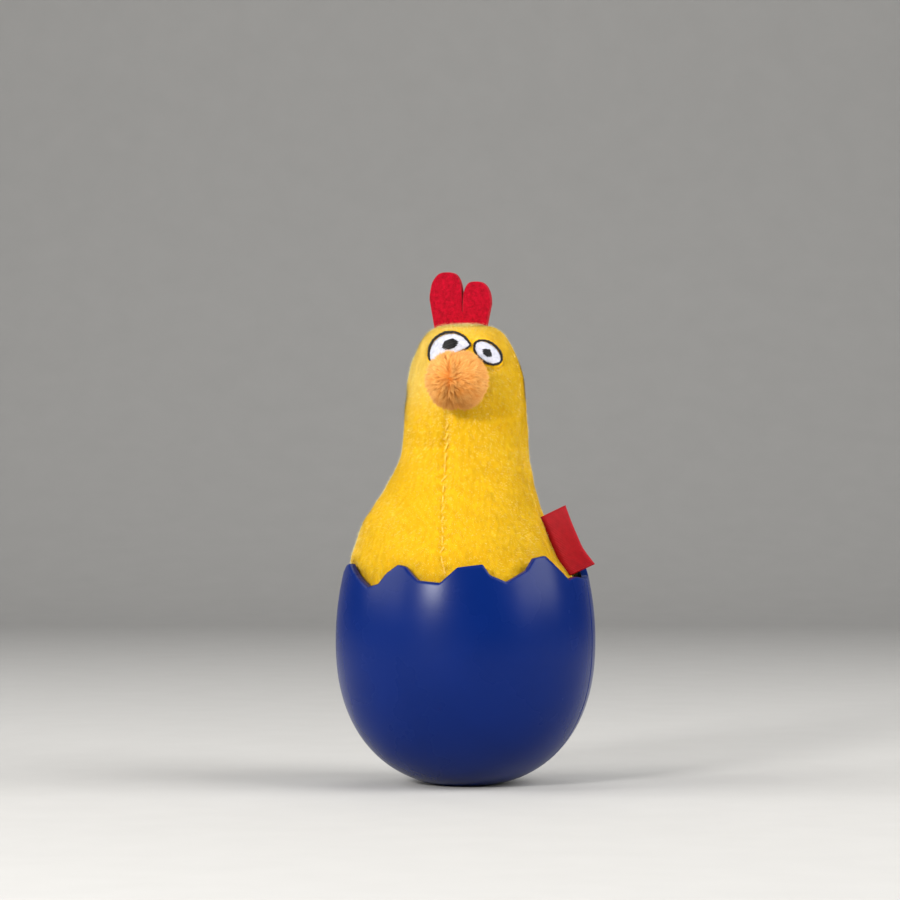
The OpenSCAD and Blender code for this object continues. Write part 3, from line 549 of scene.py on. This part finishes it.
def grid_frame(p):
    """Outward normals and downward directions of a grid with rows going up."""
    up = unit(np.gradient(p, axis=0))
    across = unit(np.gradient(p, axis=1))
    return unit(np.cross(across, up)), -up


def scatter(p, count, rng, weight):
    """Random places on a grid, even by area times weight: row, column and shares in the cell."""
    cell = np.linalg.norm(np.cross(p[1:, :-1] - p[:-1, :-1], p[:-1, 1:] - p[:-1, :-1]), axis=-1)
    chance = (cell * weight[:-1, :-1]).ravel()
    pick = np.searchsorted(np.cumsum(chance) / chance.sum(), rng.random(count))
    row, column = np.unravel_index(np.minimum(pick, chance.size - 1), cell.shape)
    return row, column, rng.random(count)[:, None], rng.random(count)[:, None]


def between(values, place):
    """Values of a grid interpolated at scattered places."""
    row, column, s, t = place
    if values.ndim == 2:
        s, t = s[:, 0], t[:, 0]
    return in_cell(values, row, column, s, t)


def add_pile(name, skin_points, skin_quads, skin_normals, skin_map, root, normal, lie,
             length, width, lean, gather, tilt, tone, painted_sheen, material):
    """Piece made of a skin and one triangular blade per root.

    A blade starts at its root and leans by lean from the normal towards lie. Its tip is moved
    by gather towards the others of its tuft, and it is as wide as width across. The blades
    share the skin's shading normal, moved by tilt, so they shade as one soft surface with a
    grain. The map named OFBake gives the skin the share below and each blade half a cell of a
    grid in the rest.
    """
    upward, sideways = np.cos(lean)[:, None] * normal, np.sin(lean)[:, None] * lie
    tip = root + length[:, None] * (upward + sideways) + gather
    across = unit(np.cross(lie, normal)) * width[:, None] / 2
    count = len(root)
    blades = np.stack([root - across, root + across, tip], 1)
    first = len(skin_points)
    piece = make_piece(name, np.concatenate([skin_points, blades.reshape(-1, 3)]), skin_quads,
                       first + np.arange(count * 3), material)
    mesh = piece.data
    blade_normal = unit(normal * 0.9 + 0.3 * unit(tip - root) + tilt)
    normals = np.concatenate([skin_normals, np.repeat(blade_normal, 3, 0)])
    mesh.normals_split_custom_set_from_vertices(normals)
    # The skin and every blade's root get tip 0, so they wear the painted root shade; the third value marks
    # the blades that are painted paler as a sheen
    for key, skin_value, blade_value in (
            ("tip", np.zeros(first), np.tile([0.0, 0.0, 1.0], count)),
            ("tone", np.full(first, 0.5), np.repeat(tone, 3)),
            ("painted_sheen", np.zeros(first), np.repeat(painted_sheen, 3))):
        layer = mesh.attributes.new(key, "FLOAT", "POINT")
        layer.data.foreach_set("value", np.concatenate([skin_value, blade_value]).astype(np.float32))
    share = 0.3
    side = math.ceil(math.sqrt(count / 2 / (1 - share)))
    high = math.ceil(count / 2 / side)
    cell = np.arange(count) // 2
    corner = np.stack([cell % side, cell // side], 1)[:, None, :]
    even = np.array([[0.1, 0.1], [0.8, 0.1], [0.1, 0.8]])
    odd = np.array([[0.9, 0.2], [0.9, 0.9], [0.2, 0.9]])
    half = np.where((np.arange(count) % 2 == 0)[:, None, None], even, odd)
    blade_map = (corner + half) / np.array([side, high]) * np.array([1, 1 - share]) + np.array([0, share])
    loop_map = np.concatenate([skin_map * np.array([1, share * 0.98]), blade_map.reshape(-1, 2)])
    layer = mesh.uv_layers.new(name="OFBake")
    layer.data.foreach_set("uv", loop_map.ravel())
    return piece


def pile_material(name, root_shade_color, low_color, high_color, sheen_color):
    """Plush: a darker colour at the roots as painted shade down in the pile, lighter tips, a tone
    for each blade, and fuzz painted paler as a sheen.
    """
    material, tree, shader = new_material(name, Roughness=0.8, Specular_IOR_Level=0.1,
                                          Sheen_Weight=0.1, Sheen_Roughness=0.5)
    shader.inputs["Sheen Tint"].default_value = linear(sheen_color)
    tone, tip, painted_sheen = [add_node(tree, "ShaderNodeAttribute", {"attribute_name": key}).outputs["Fac"]
                       for key in ("tone", "tip", "painted_sheen")]
    color = {"data_type": "RGBA"}
    blade = add_node(tree, "ShaderNodeMix", color, Factor=tone, A=linear(low_color), B=linear(high_color))
    # Painted shade: the roots, and the skin between them, take the darker root colour
    full = add_node(tree, "ShaderNodeMix", color, Factor=tip, A=linear(root_shade_color),
                    B=blade.outputs["Result"])
    # Painted sheen: marked blades are mixed towards the pale colour
    fuzz = add_node(tree, "ShaderNodeMix", color, Factor=painted_sheen, A=full.outputs["Result"],
                    B=linear(sheen_color))
    tree.links.new(fuzz.outputs["Result"], shader.inputs["Base Color"])
    # A blade seen from behind keeps the normal of its front
    seen = add_node(tree, "ShaderNodeNewGeometry").outputs
    turned = add_node(tree, "ShaderNodeVectorMath", {"operation": "SCALE"}, Vector=seen["Normal"],
                      Scale=-1.0)
    same_side = add_node(tree, "ShaderNodeMix", {"data_type": "VECTOR"}, Factor=seen["Backfacing"],
                         i4=seen["Normal"], i5=turned.outputs["Vector"])
    tree.links.new(same_side.outputs[1], shader.inputs["Normal"])
    return material


def closed_panel(outer, inner):
    """Closed skin between an outer and an inner grid: points, quads and a map of each corner."""
    m, n, _ = outer.shape
    front = grid_quads(m, n)
    back = grid_quads(m, n, first=m * n)[:, ::-1]
    index = np.arange(m * n).reshape(m, n)
    edge = np.concatenate([index[0, :], index[1:, -1], index[-1, -2::-1], index[-2:0:-1, 0]])
    nxt = np.roll(edge, -1)
    rim_quads = np.stack([nxt, edge, edge + m * n, nxt + m * n], 1)
    quads = np.concatenate([front, back, rim_quads])
    v, u = np.divmod(np.arange(m * n), n)
    flat = np.stack([u / (n - 1) * 0.48 + 0.01, v / (m - 1) * 0.94 + 0.01], 1)
    both = np.concatenate([flat, flat + np.array([0.5, 0])])
    loop_map = both[quads.ravel()]
    k = len(edge)
    s = np.arange(k) / k * 0.98
    strip = np.stack([np.stack([s + 0.98 / k, s * 0 + 0.97], 1), np.stack([s, s * 0 + 0.97], 1),
                      np.stack([s, s * 0 + 0.99], 1), np.stack([s + 0.98 / k, s * 0 + 0.99], 1)], 1)
    loop_map[-4 * k:] = strip.reshape(-1, 2)
    return np.concatenate([outer.reshape(-1, 3), inner.reshape(-1, 3)]), quads, loop_map


# Short cut pile of dyed polyester, soft and matt: golden roots as painted shade down in the pile,
# paler tips, and fuzz painted paler still as a sheen
plush = pile_material("yellow_plush", "#f0b60a", "#eaaa02", "#fad62e", "#ffee9c")


def plush_panel(name, start, middle, stop, columns, blades, seed):
    """One panel of plush between the angles start and stop, functions of height, with its pile.

    Most blades lie down along the body. Some stand up as fuzz, which is painted paler as a sheen,
    more of them towards the upper left of the head, where every blade also gets a painted sheen
    that makes the side the light comes from paler. Under the eyes, the beak and the comb nothing grows.
    """
    rng = np.random.default_rng(seed)
    body = np.linspace(HEM_Z, NECK_Z, 76)[:-1]
    dome = NECK_Z + HEAD_H * np.sqrt(np.sin(np.radians(np.linspace(0, 89.6, 72))))
    z = np.concatenate([body, dome])[:, None]
    w = np.linspace(-1, 1, columns)[None, :]
    share = np.sign(w) * (np.abs(w) + smooth(np.abs(w))) / 2
    edge = np.degrees(0.12 / plush_radius(z))
    turn = middle(z) + np.where(w < 0, middle(z) - start(z) - edge, stop(z) - edge - middle(z)) * share
    a = np.radians(np.where(turn > 180, turn - 360, turn))
    height = z + 0 * a
    outer = skin_point(a, height, 0 * a)
    inner = skin_point(a, height, 0 * a - (PLUSH_T - PILE))
    normal, down = grid_frame(outer)
    points, quads, loop_map = closed_panel(outer, inner)
    vertex_normals = np.concatenate([normal.reshape(-1, 3), -normal.reshape(-1, 3)])

    cover = eye_cover(a, height)
    under_beak = np.linalg.norm(outer - (BEAK_ROOT + 2 * BEAK_AXIS), axis=-1) < BEAK_R - 1.5
    at_comb = (np.abs(outer[..., 1]) < 0.9) & (np.abs(outer[..., 0] - COMB_X) < 8) & (height > HEAD_TOP - 4)
    weight = (1 - cover) * ~under_beak * ~at_comb * np.where(height < VALLEY_Z - 1, 0.02, 1)
    place = scatter(outer, blades, rng, weight)
    root, n, lie = between(outer, place), unit(between(normal, place)), unit(between(down, place))
    across = np.cross(n, lie)
    grain = root * np.array([1, 1, 0.55])
    swirl = (0.3 * ripple(root, 14, seed + 1) + 0.25 * ripple(root, 3.2, seed + 2)
             + rng.normal(0, 0.2, blades))
    here_z = between(height, place)
    to_front = plush_radius(here_z) * np.radians(between(turn, place) - front_seam(here_z))
    near = np.exp(-(to_front / 1.6) ** 2) * (here_z < FRONT_SEAM_TOP + 1)
    swirl = swirl * (1 - near) - 0.8 * near * np.sign(to_front)
    lie = np.cos(swirl)[:, None] * lie + np.sin(swirl)[:, None] * across
    tilt = (0.3 * ripple(grain, 1.3, seed + 3)[:, None] * across
            + 0.25 * ripple(grain, 1.5, seed + 4)[:, None] * lie)
    # Painted sheen: the blades over the upper left of the head are painted paler, as the side the light
    # comes from, and more of them stand up as fuzz
    painted_sheen_side = smooth((here_z - 94) / 15) * np.clip(0.5 - root[:, 0] / 28, 0, 1)
    upright = rng.random(blades) < 0.08 + 0.16 * painted_sheen_side
    lean = np.radians(np.where(upright, rng.uniform(10, 45, blades), rng.normal(82, 3, blades)))
    tone = np.clip(0.5 + 0.08 * ripple(root, 9, seed + 5) + 0.2 * ripple(grain, 1.2, seed + 6)
                   + 0.15 * ripple(grain, 0.7, seed + 7) + rng.normal(0, 0.12, blades), 0, 1)
    length = np.where(upright, 0.85, 1.3) * rng.uniform(0.75, 1.15, blades)
    width = np.where(upright, 0.07, rng.uniform(0.1, 0.16, blades))
    # The upright fuzz is painted pale in full and the upper left of the head partly, as a painted sheen
    piece = add_pile(name, points, quads, vertex_normals, loop_map, root, n, lie, length, width, lean,
                     0 * root, tilt, tone, np.maximum(upright, 0.36 * painted_sheen_side), plush)
    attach(piece, "root")
    return piece


# Where the beak is sewn on: its root on the face, the way it points, and right across it. And
# the middle of the comb, under which no pile stands either
COMB_X = -1.25
BEAK_AIM = math.radians(-5)
BEAK_ROOT = around(float(plush_radius(np.array(BEAK_Z))), math.radians(14), BEAK_Z)
BEAK_AXIS = np.array([math.sin(BEAK_AIM), -math.cos(BEAK_AIM), 0])
BEAK_ACROSS = np.array([math.cos(BEAK_AIM), math.sin(BEAK_AIM), 0])

front = plush_panel("plush_front_fur", lambda z: -side_seam(z), front_seam, side_seam,
                    columns=141, blades=170000, seed=11)
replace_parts(front, "plush_front")
back = plush_panel("plush_back_fur", side_seam, lambda z: 180 + 0 * z, lambda z: 360 - side_seam(z),
                   columns=121, blades=130000, seed=12)
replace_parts(back, "plush_back")


# Beak: two halves of longer orange plush over a ball of filling, drawn in along the seam that
# runs up its middle. The pile lies back from the tip and away from the seam.
BEAK_BACK, BEAK_FRONT, BEAK_PILE, BEAK_CLOTH, SEAM_GAP, TUFT = 6, 8.2, 1.3, 0.6, 0.04, 12
BEAK_TAIL = 1.23 * BEAK_BACK


def beak_radius(s):
    """Radius at distance s in front of the widest ring: two half superellipses."""
    behind = np.maximum(0, 1 - (np.maximum(0, -s) / BEAK_TAIL) ** 2.2) ** (1 / 2.2)
    ahead = np.maximum(0, 1 - (np.maximum(0, s) / BEAK_FRONT) ** 2.3) ** (1 / 2.3)
    return BEAK_R * np.where(s < 0, behind, ahead)


# Longer pile than the body's: it clings in tufts, brown at the roots as painted shade between
# them, and light at the tips
orange = pile_material("orange_plush", "#c46a22", "#e8933a", "#ffc878", "#ffe2bc")


def beak_half(name, side, blades, seed):
    """Half of the beak: side 1 is the right one and -1 the left one."""
    rng = np.random.default_rng(seed)
    turn = np.linspace(-85, 89.5, 60)
    s = np.where(turn < 0, BEAK_TAIL, BEAK_FRONT) * np.sin(np.radians(turn))
    s = s[::-1, None]
    phi = np.radians(np.linspace(-90, 90, 61))[None, :] * side

    def surface(inset):
        """Half turn of beak_radius, smaller by an inset, with a dent along the seam and low lumps."""
        r = beak_radius(s) * (1 - inset / BEAK_R)
        cross, up = side * r * np.cos(phi), r * np.sin(phi) * side
        dent = 0.8 * np.exp(-(cross / 1.3) ** 2) * smooth((s + BEAK_TAIL) / 4)
        shape = 1 - dent / BEAK_FRONT
        centre = BEAK_ROOT + BEAK_BACK * BEAK_AXIS
        p = (centre + (s * (1 - inset / BEAK_FRONT) * shape)[..., None] * BEAK_AXIS
             + (cross + side * SEAM_GAP / 2)[..., None] * BEAK_ACROSS
             + (up * shape)[..., None] * np.array([0, 0, 1.0]))
        return p + 0.15 * ripple(p, 6, 21)[..., None] * unit(p - centre)

    outer, inner = surface(BEAK_PILE), surface(BEAK_PILE + BEAK_CLOTH)
    normal = unit(np.cross(np.gradient(outer, axis=1), np.gradient(outer, axis=0)))
    middle = outer.mean((0, 1))
    flip = (normal * (outer - middle)).sum(-1).mean() < 0
    normal = -normal if flip else normal
    points, quads, loop_map = closed_panel(outer, inner)
    face = points[quads[0]]
    if np.dot(np.cross(face[1] - face[0], face[2] - face[0]), normal[0, 0]) < 0:
        quads = quads[:, ::-1]
        loop_map = loop_map.reshape(-1, 4, 2)[:, ::-1].reshape(-1, 2)
    vertex_normals = np.concatenate([normal.reshape(-1, 3), -normal.reshape(-1, 3)])
    head = np.hypot(outer[..., 0], outer[..., 1]) < plush_radius(outer[..., 2]) - 1.5
    place = scatter(outer, blades // TUFT, rng, np.where(head, 0.0, 1.0))
    root, n = between(outer, place), unit(between(normal, place))
    away = root - (BEAK_ROOT + (BEAK_BACK + BEAK_FRONT) * BEAK_AXIS)
    parting = side * 2.5 * np.exp(-(away @ BEAK_ACROSS / 3) ** 2)[:, None] * BEAK_ACROSS
    lie = away + parting + np.array([0, 0, -1.0])
    lie = unit(lie - (lie * n).sum(-1, keepdims=True) * n)
    swirl = 0.4 * ripple(root, 4, seed + 1) + rng.normal(0, 0.3, len(root))
    lie = np.cos(swirl)[:, None] * lie + np.sin(swirl)[:, None] * np.cross(n, lie)
    lean = np.radians(np.clip(rng.normal(62, 7, len(root)), 45, 78))
    tone = 0.5 + 0.12 * ripple(root, 3, seed + 4) + rng.normal(0, 0.17, len(root))
    root, n, lie, lean, tone = [np.repeat(v, TUFT, 0) for v in (root, n, lie, lean, tone)]
    offset = rng.normal(0, 0.22, (len(root), 2))
    offset = offset[:, :1] * lie + offset[:, 1:] * np.cross(n, lie)
    tone = np.clip(tone + rng.normal(0, 0.1, len(root)), 0, 1)
    length, width = 2.4 * rng.uniform(0.7, 1.15, len(root)), rng.uniform(0.1, 0.17, len(root))
    lean = lean + rng.normal(0, 0.06, len(root))
    piece = add_pile(name, points, quads, vertex_normals, loop_map, root + offset, n, lie, length,
                     width, lean, -0.6 * offset, 0 * offset, tone, 0 * tone, orange)
    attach(piece, "root")
    return piece


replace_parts(beak_half("beak_left_fur", -1, 26000, 31), "beak_left")
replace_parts(beak_half("beak_right_fur", 1, 26000, 32), "beak_right")


# Comb: two lobes cut from thick red felt, its cut edges worn round and its faces a mat of
# short fibres. Its root is sewn into the seam over the head.
COMB_LEFT_W, COMB_RIGHT_W, COMB_LEFT_H, COMB_RIGHT_H, COMB_T = 8.9, 7.6, 13.3, 10.8, 2.4
COMB_SLIT_X = COMB_X + (COMB_LEFT_W - COMB_RIGHT_W) / 2
COMB_LEFT, COMB_RIGHT = (COMB_X + way * (COMB_LEFT_W + COMB_RIGHT_W) / 2 for way in (-1, 1))
SLIT_DEPTH, SLIT_GAP, COMB_TAPER, COMB_ROUND = 8, 0.06, 1.4, 0.3


def lobe(x0, w, height, slit):
    """Upper outline of a lobe of the comb, from its left side at x0 over the top to its right one.

    The top 0.55 of its height is an arc of a superellipse, squarer on the side of the slit: the
    right side where slit is 1, and the left one where it is -1.
    """
    turns = np.linspace(math.pi, 0, 60)
    c = np.cos(turns)
    power = np.where(c * slit > 0, 0.6, 0.85)
    x = x0 + w / 2 * (1 + np.sign(c) * np.abs(c) ** power)
    return np.stack([x, HEAD_TOP + height * (0.45 + 0.55 * np.sin(turns) ** 0.9)], 1)


outline = np.concatenate([
    [[COMB_LEFT + COMB_TAPER, HEAD_TOP - PLUSH_T]],
    lobe(COMB_LEFT, COMB_LEFT_W - SLIT_GAP, COMB_LEFT_H, 1),
    [[COMB_SLIT_X, HEAD_TOP + COMB_RIGHT_H - SLIT_DEPTH]],
    lobe(COMB_SLIT_X + SLIT_GAP, COMB_RIGHT_W - SLIT_GAP, COMB_RIGHT_H, -1),
    [[COMB_RIGHT - COMB_TAPER, HEAD_TOP - PLUSH_T]]])


def resample(line, step):
    """Points every step mm along a closed line, its corners kept close."""
    closed = np.concatenate([line, line[:1]])
    run = np.concatenate([[0], np.cumsum(np.linalg.norm(np.diff(closed, axis=0), axis=1))])
    spots = np.linspace(0, run[-1], int(run[-1] / step), endpoint=False)
    return np.stack([np.interp(spots, run, closed[:, k]) for k in range(2)], 1)


edge_line = resample(outline, 0.22)
tangent = unit(np.roll(edge_line, -2, 0) - np.roll(edge_line, 2, 0))
inward = np.stack([tangent[:, 1], -tangent[:, 0]], 1)
bend = np.linspace(0, math.pi / 2, 6)
insets = COMB_ROUND * (1 - np.cos(bend))
depths = COMB_T / 2 - COMB_ROUND * (1 - np.sin(bend))
insets, depths = np.concatenate([insets[::-1], insets[1:]]), np.concatenate([-depths[::-1], depths[1:]])
rings = []
for inset, depth in zip(insets, depths):
    ring = edge_line + inward * inset
    wobble = 0.12 * ripple(np.column_stack([ring, 0 * ring[:, 0] + depth]), 3, 41)
    rings.append(np.stack([ring[:, 0], np.full(len(ring), -depth) + wobble, ring[:, 1]], 1))
rings = np.array(rings)
count, around_count = rings.shape[:2]
# Pressed felt: matt red, mottled by clumps of fibre 0.8 mm wide, coarser than the real ones so
# that they show
felt, tree, shader = new_material("red_felt", Roughness=0.95, Specular_IOR_Level=0.05,
                                  Sheen_Weight=0.1, Sheen_Roughness=0.5)
place = add_node(tree, "ShaderNodeTexCoord").outputs["Object"]
mat = add_node(tree, "ShaderNodeTexNoise", Vector=place, Scale=1200.0, Detail=6.0, Roughness=0.75)
spread = add_node(tree, "ShaderNodeMapRange", Value=mat.outputs["Fac"], From_Min=0.33, From_Max=0.67)
tone = add_node(tree, "ShaderNodeMix", {"data_type": "RGBA"}, Factor=spread.outputs["Result"],
                A=linear("#800114"), B=linear("#b60524"))
tree.links.new(tone.outputs["Result"], shader.inputs["Base Color"])
relief = add_node(tree, "ShaderNodeBump", Height=mat.outputs["Fac"], Strength=0.9, Distance=0.0004)
tree.links.new(relief.outputs["Normal"], shader.inputs["Normal"])
sides = grid_quads(count, around_count, ring=True)
comb = make_piece("felt_comb", rings.reshape(-1, 3), sides, material=felt)
mesh_tool = bmesh.new()
mesh_tool.from_mesh(comb.data)
mesh_tool.verts.ensure_lookup_table()
for row in (0, count - 1):
    face = mesh_tool.faces.new([mesh_tool.verts[row * around_count + i] for i in range(around_count)])
    face.smooth = True
bmesh.ops.recalc_face_normals(mesh_tool, faces=mesh_tool.faces)
mesh_tool.to_mesh(comb.data)
mesh_tool.free()
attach(comb, "root")
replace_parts(comb, "comb")


# Embroidered eyes: white satin stitches side by side, a black line of short slanted stitches
# round them, and black stitches across the pupils.
def threads(name, lines, normals, width, height, material, node):
    """Piece of rounded threads, one along each line of points, tapered to a point at its ends."""
    count, steps = lines.shape[:2]
    side = unit(np.cross(unit(np.gradient(lines, axis=1)), normals))
    sides = 8
    turn = (np.arange(sides) * 2 * math.pi / sides)[:, None]
    taper = np.sqrt(np.clip(1 - np.abs(np.linspace(-1, 1, steps)) ** 6, 0.02, 1))[:, None, None]
    ring = (np.cos(turn) * side[:, :, None] * width / 2
            + np.sin(turn) * normals[:, :, None] * height / 2) * taper
    body = (lines[:, :, None] + ring).reshape(-1, 3)
    ends = np.concatenate([lines[:, 0], lines[:, -1]])
    base = np.arange(count)[:, None] * steps * sides
    quads = (base[..., None] + grid_quads(steps, sides, ring=True)).reshape(-1, 4)
    a = np.arange(sides)
    b = (a + 1) % sides
    start, stop = len(body) + np.arange(count)[:, None] + 0 * a, base + (steps - 1) * sides
    tris = np.concatenate([np.stack([start, base + b, base + a], -1).reshape(-1, 3),
                           np.stack([start + count, stop + a, stop + b], -1).reshape(-1, 3)])
    piece = make_piece(name, np.concatenate([body, ends]), quads[:, ::-1], tris[:, ::-1], material)
    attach(piece, "root")
    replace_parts(piece, node)


def thread_material(name, low, high, roughness):
    """Spun rayon thread: a soft shine, and two close tones with slubs 0.8 mm long."""
    return speckled(name, low, high, 1300.0, 0.4, 0.0001, 3.0, Roughness=roughness, Specular_IOR_Level=0.3)


white_thread = thread_material("white_thread", "#989aa8", "#dedee8", 0.45)
black_thread = thread_material("black_thread", "#060508", "#141317", 0.5)


def eye_line(eye, u, v, out):
    """Points of the face from coordinates in an eye's own frame, with their normals."""
    tilt = math.radians(eye[2])
    x = eye[0] + u * math.cos(tilt) - v * math.sin(tilt)
    z = eye[1] + u * math.sin(tilt) + v * math.cos(tilt)
    return on_face(x, z, out + 0 * x), unit(on_face(x, z, 1 + 0 * x) - on_face(x, z, 0 * x))


def satin(name, eye, half_w, top, bottom, node, seed, pupil=False):
    """Satin stitches side by side that fill an ellipse of half width half_w.

    Its height is top above the middle and bottom below it. The white is filled with upright
    stitches, and a pupil on top of it with level ones.
    """
    rng = np.random.default_rng(seed)
    pitch, out, height = (0.3, 0.48, 0.3) if pupil else (0.34, 0.15, 0.4)
    reach = top if pupil else half_w
    spots = np.arange(-reach + pitch / 2, reach, pitch)
    spots = (spots + rng.normal(0, 0.02, len(spots)))[:, None]
    half = np.sqrt(np.clip(1 - (spots / reach) ** 2, 0, 1))
    share = np.linspace(0, 1, 12)[None, :]
    if pupil:
        u = (half_w * half + rng.uniform(-0.15, 0.2, spots.shape)) * (2 * share - 1)
        v = spots + 0 * share
    else:
        low = -bottom * half - rng.uniform(0, 0.2, spots.shape)
        high = top * half + rng.uniform(0, 0.2, spots.shape)
        u = spots + 0 * share
        v = low + (high - low) * share
    lines, normals = eye_line(eye, u, v, out + 0.18 * np.sin(np.pi * share))
    material, slot = (black_thread, "black_thread") if pupil else (white_thread, "white_thread")
    threads(name, lines, normals, 1.35 * pitch, height, material, node)


def eye_outline(name, eye, half_w, top, bottom, node, seed):
    """Short black stitches laid slantwise across an eye's outline, shoulder to shoulder."""
    pitch, inner, outer = 0.27, -0.06, 0.55

    def edge(t, grow):
        """Ellipse with its own heights above and below the middle, grown by a margin."""
        return (half_w + grow) * np.cos(t), (np.where(np.sin(t) > 0, top, bottom) + grow) * np.sin(t)

    rng = np.random.default_rng(seed)
    turns = np.linspace(0, 2 * math.pi, 2000)
    run = np.concatenate([[0], np.cumsum(np.hypot(*np.diff(edge(turns, 0.5))))])
    t = np.interp(np.arange(0, run[-1], pitch), run, turns)
    start, stop = np.array(edge(t, inner)), np.array(edge(t + 0.05, outer))
    way = (stop - start) / np.hypot(*(stop - start))
    ragged = rng.uniform(-0.1, 0.14, (2, len(t)))
    start, stop = (start - way * ragged[0])[..., None], (stop + way * ragged[1])[..., None]
    share = np.linspace(0, 1, 7)
    u, v = start + (stop - start) * share
    lines, normals = eye_line(eye, u, v, 0.38 + 0.16 * np.sin(np.pi * share)[None, :])
    threads(name, lines, normals, 0.34, 0.3, black_thread, node)


left_form = LEFT_EYE, LEFT_EYE_W, LEFT_EYE_H, LOWER_LID
right_form = RIGHT_EYE, RIGHT_EYE_W, RIGHT_EYE_H, RIGHT_EYE_H
satin("left_eye_satin", *left_form, "left_eye_white", 51)
satin("right_eye_satin", *right_form, "right_eye_white", 52)
eye_outline("left_eye_line", *left_form, "left_eye_outline", 53)
eye_outline("right_eye_line", *right_form, "right_eye_outline", 54)
satin("left_pupil_satin", (-3.9, BEAK_Z + 9.25, 20), 2.3, 1.2, 1.2, "left_eye_pupil", 55, pupil=True)
satin("right_pupil_satin", (5.4, BEAK_Z + 7.1, -38), 1.5, 0.85, 0.85, "right_eye_pupil", 56, pupil=True)


# Seam threads: short stitches that show in the creases of the front and side seams.
yellow_thread = thread_material("yellow_thread", "#e2aa20", "#fbd968", 0.7)


def seam_stitches(name, z0, z1, angle, node, seed):
    """Stitches from height z0 to z1 in the crease of the seam at the given angle of each height.

    They slant a little and dip at both ends, where the needle went in.
    """
    rng = np.random.default_rng(seed)
    centre = np.arange(z0, z1, STITCH_PITCH)
    share = np.linspace(-1, 1, 9)[None, :]
    z = centre[:, None] + STITCH_L / 2 * share
    slant = rng.normal(0, 0.012, len(centre))[:, None] + 0.012
    a = np.radians(angle(z)) + slant * share
    lift = fullness(a, z) + np.where(np.abs(a) > 1, SIDE_DEPTH - side_depth(z), 0)
    lines = on_plush(a, z, lift - 1.15 - 0.3 * share ** 2)
    normals = unit(on_plush(a, z, 0 * z) - on_plush(a, z, 0 * z - 1))
    threads(name, lines, normals, 0.32, 0.32, yellow_thread, node)


SEWN_FROM, SEWN_TO = HEM_Z + 9, HEAD_TOP - 8
LABEL_L, LABEL_FOOT_Z = 17.4, VALLEY_Z + 2.6
LABEL_TOP_Z = LABEL_FOOT_Z + 0.88 * LABEL_L
seam_stitches("front_stitches", SEWN_FROM, FRONT_SEAM_TOP - 3, front_seam, "front_seam_thread", 61)
seam_stitches("left_stitches", SEWN_FROM, SEWN_TO, lambda z: -side_seam(z), "left_seam_thread", 62)
seam_stitches("right_stitches", LABEL_TOP_Z + 3, SEWN_TO, side_seam, "right_seam_thread", 63)


# Label: a plain red satin ribbon folded into a loop, its cut ends sewn into the right seam.
# The ribs of its weave run across the seam, and it stands out with a slight wave.
RIBBON_T, LABEL_W, LOOP_HALF = 0.3, 7.2, 0.32
stations = np.linspace(0, 1, 50)[:, None]
z_line = LABEL_FOOT_Z + (LABEL_TOP_Z - LABEL_FOOT_Z) * stations
root = on_plush(np.radians(side_seam(z_line)), z_line, -0.5 + 0 * z_line)[:, 0]
label_up = unit(root[-1] - root[0])
label_across = unit(np.cross(label_up, around(1.0, np.radians(side_seam(z_line.mean())), 0.0)))
label_out = np.cross(label_across, label_up)
root = root - ((root - root.mean(0)) @ label_across)[:, None] * label_across
walk = np.linspace(0, 1, 25)
fold_turn = np.linspace(-math.pi / 2, math.pi / 2, 9)[1:-1]
flat_w = LABEL_W - LOOP_HALF
reach = np.concatenate([flat_w * walk[:-1], flat_w + LOOP_HALF * np.cos(fold_turn), flat_w * walk[::-1]])
layer = LOOP_HALF * np.concatenate([-np.ones(24), np.sin(fold_turn), np.ones(25)])
layer[:6] *= np.linspace(0.5, 1, 6)
layer[-6:] *= np.linspace(1, 0.5, 6)
path = np.stack([reach, layer], 1)
tangent = unit(np.gradient(path, axis=0))
off = np.stack([tangent[:, 1], -tangent[:, 0]], 1) * RIBBON_T / 2
section = np.concatenate([path + off, (path - off)[::-1]])
wave = 0.5 * np.sin(2.6 * stations + 0.6) * np.clip(section[None, :, 0] / LABEL_W, 0, 1) ** 2
label_points = (root[:, None, :] + section[None, :, :1] * label_out
                - (section[None, :, 1] + wave)[..., None] * label_across)
m, n, _ = label_points.shape
# Woven satin ribbon: a soft shine over ribs 0.42 mm apart, coarser than the real weave so that
# they show
RIB_PITCH = 0.42
ribbon, tree, shader = new_material("red_ribbon", Roughness=0.48, Specular_IOR_Level=0.15)
along = add_node(tree, "ShaderNodeAttribute", {"attribute_name": "along"})
turns = add_node(tree, "ShaderNodeMath", {"operation": "MULTIPLY"}, i0=along.outputs["Fac"],
                 i1=2 * math.pi / RIB_PITCH)
rib = add_node(tree, "ShaderNodeMath", {"operation": "SINE"}, i0=turns.outputs[0])
place = add_node(tree, "ShaderNodeTexCoord").outputs["Object"]
cloud = add_node(tree, "ShaderNodeTexNoise", Vector=place, Scale=900.0, Detail=3.0)
tone = add_node(tree, "ShaderNodeMix", {"data_type": "RGBA"}, Factor=cloud.outputs["Fac"],
                A=linear("#82020f"), B=linear("#ac081c"))
tree.links.new(tone.outputs["Result"], shader.inputs["Base Color"])
relief = add_node(tree, "ShaderNodeBump", Height=rib.outputs[0], Strength=0.35, Distance=0.0001)
tree.links.new(relief.outputs["Normal"], shader.inputs["Normal"])
caps = [[i, n - 1 - i, n - 2 - i, i + 1] for i in range(n // 2 - 1)]
caps = np.concatenate([np.array(caps), (m - 1) * n + np.array(caps)[:, ::-1]])
label = make_piece("ribbon_label", label_points.reshape(-1, 3),
                   np.concatenate([grid_quads(m, n, ring=True), caps]), material=ribbon)
layer_along = label.data.attributes.new("along", "FLOAT", "POINT")
layer_along.data.foreach_set("value", np.repeat(stations[:, 0] * LABEL_L, n).astype(np.float32))
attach(label, "root")
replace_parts(label, "side_label")
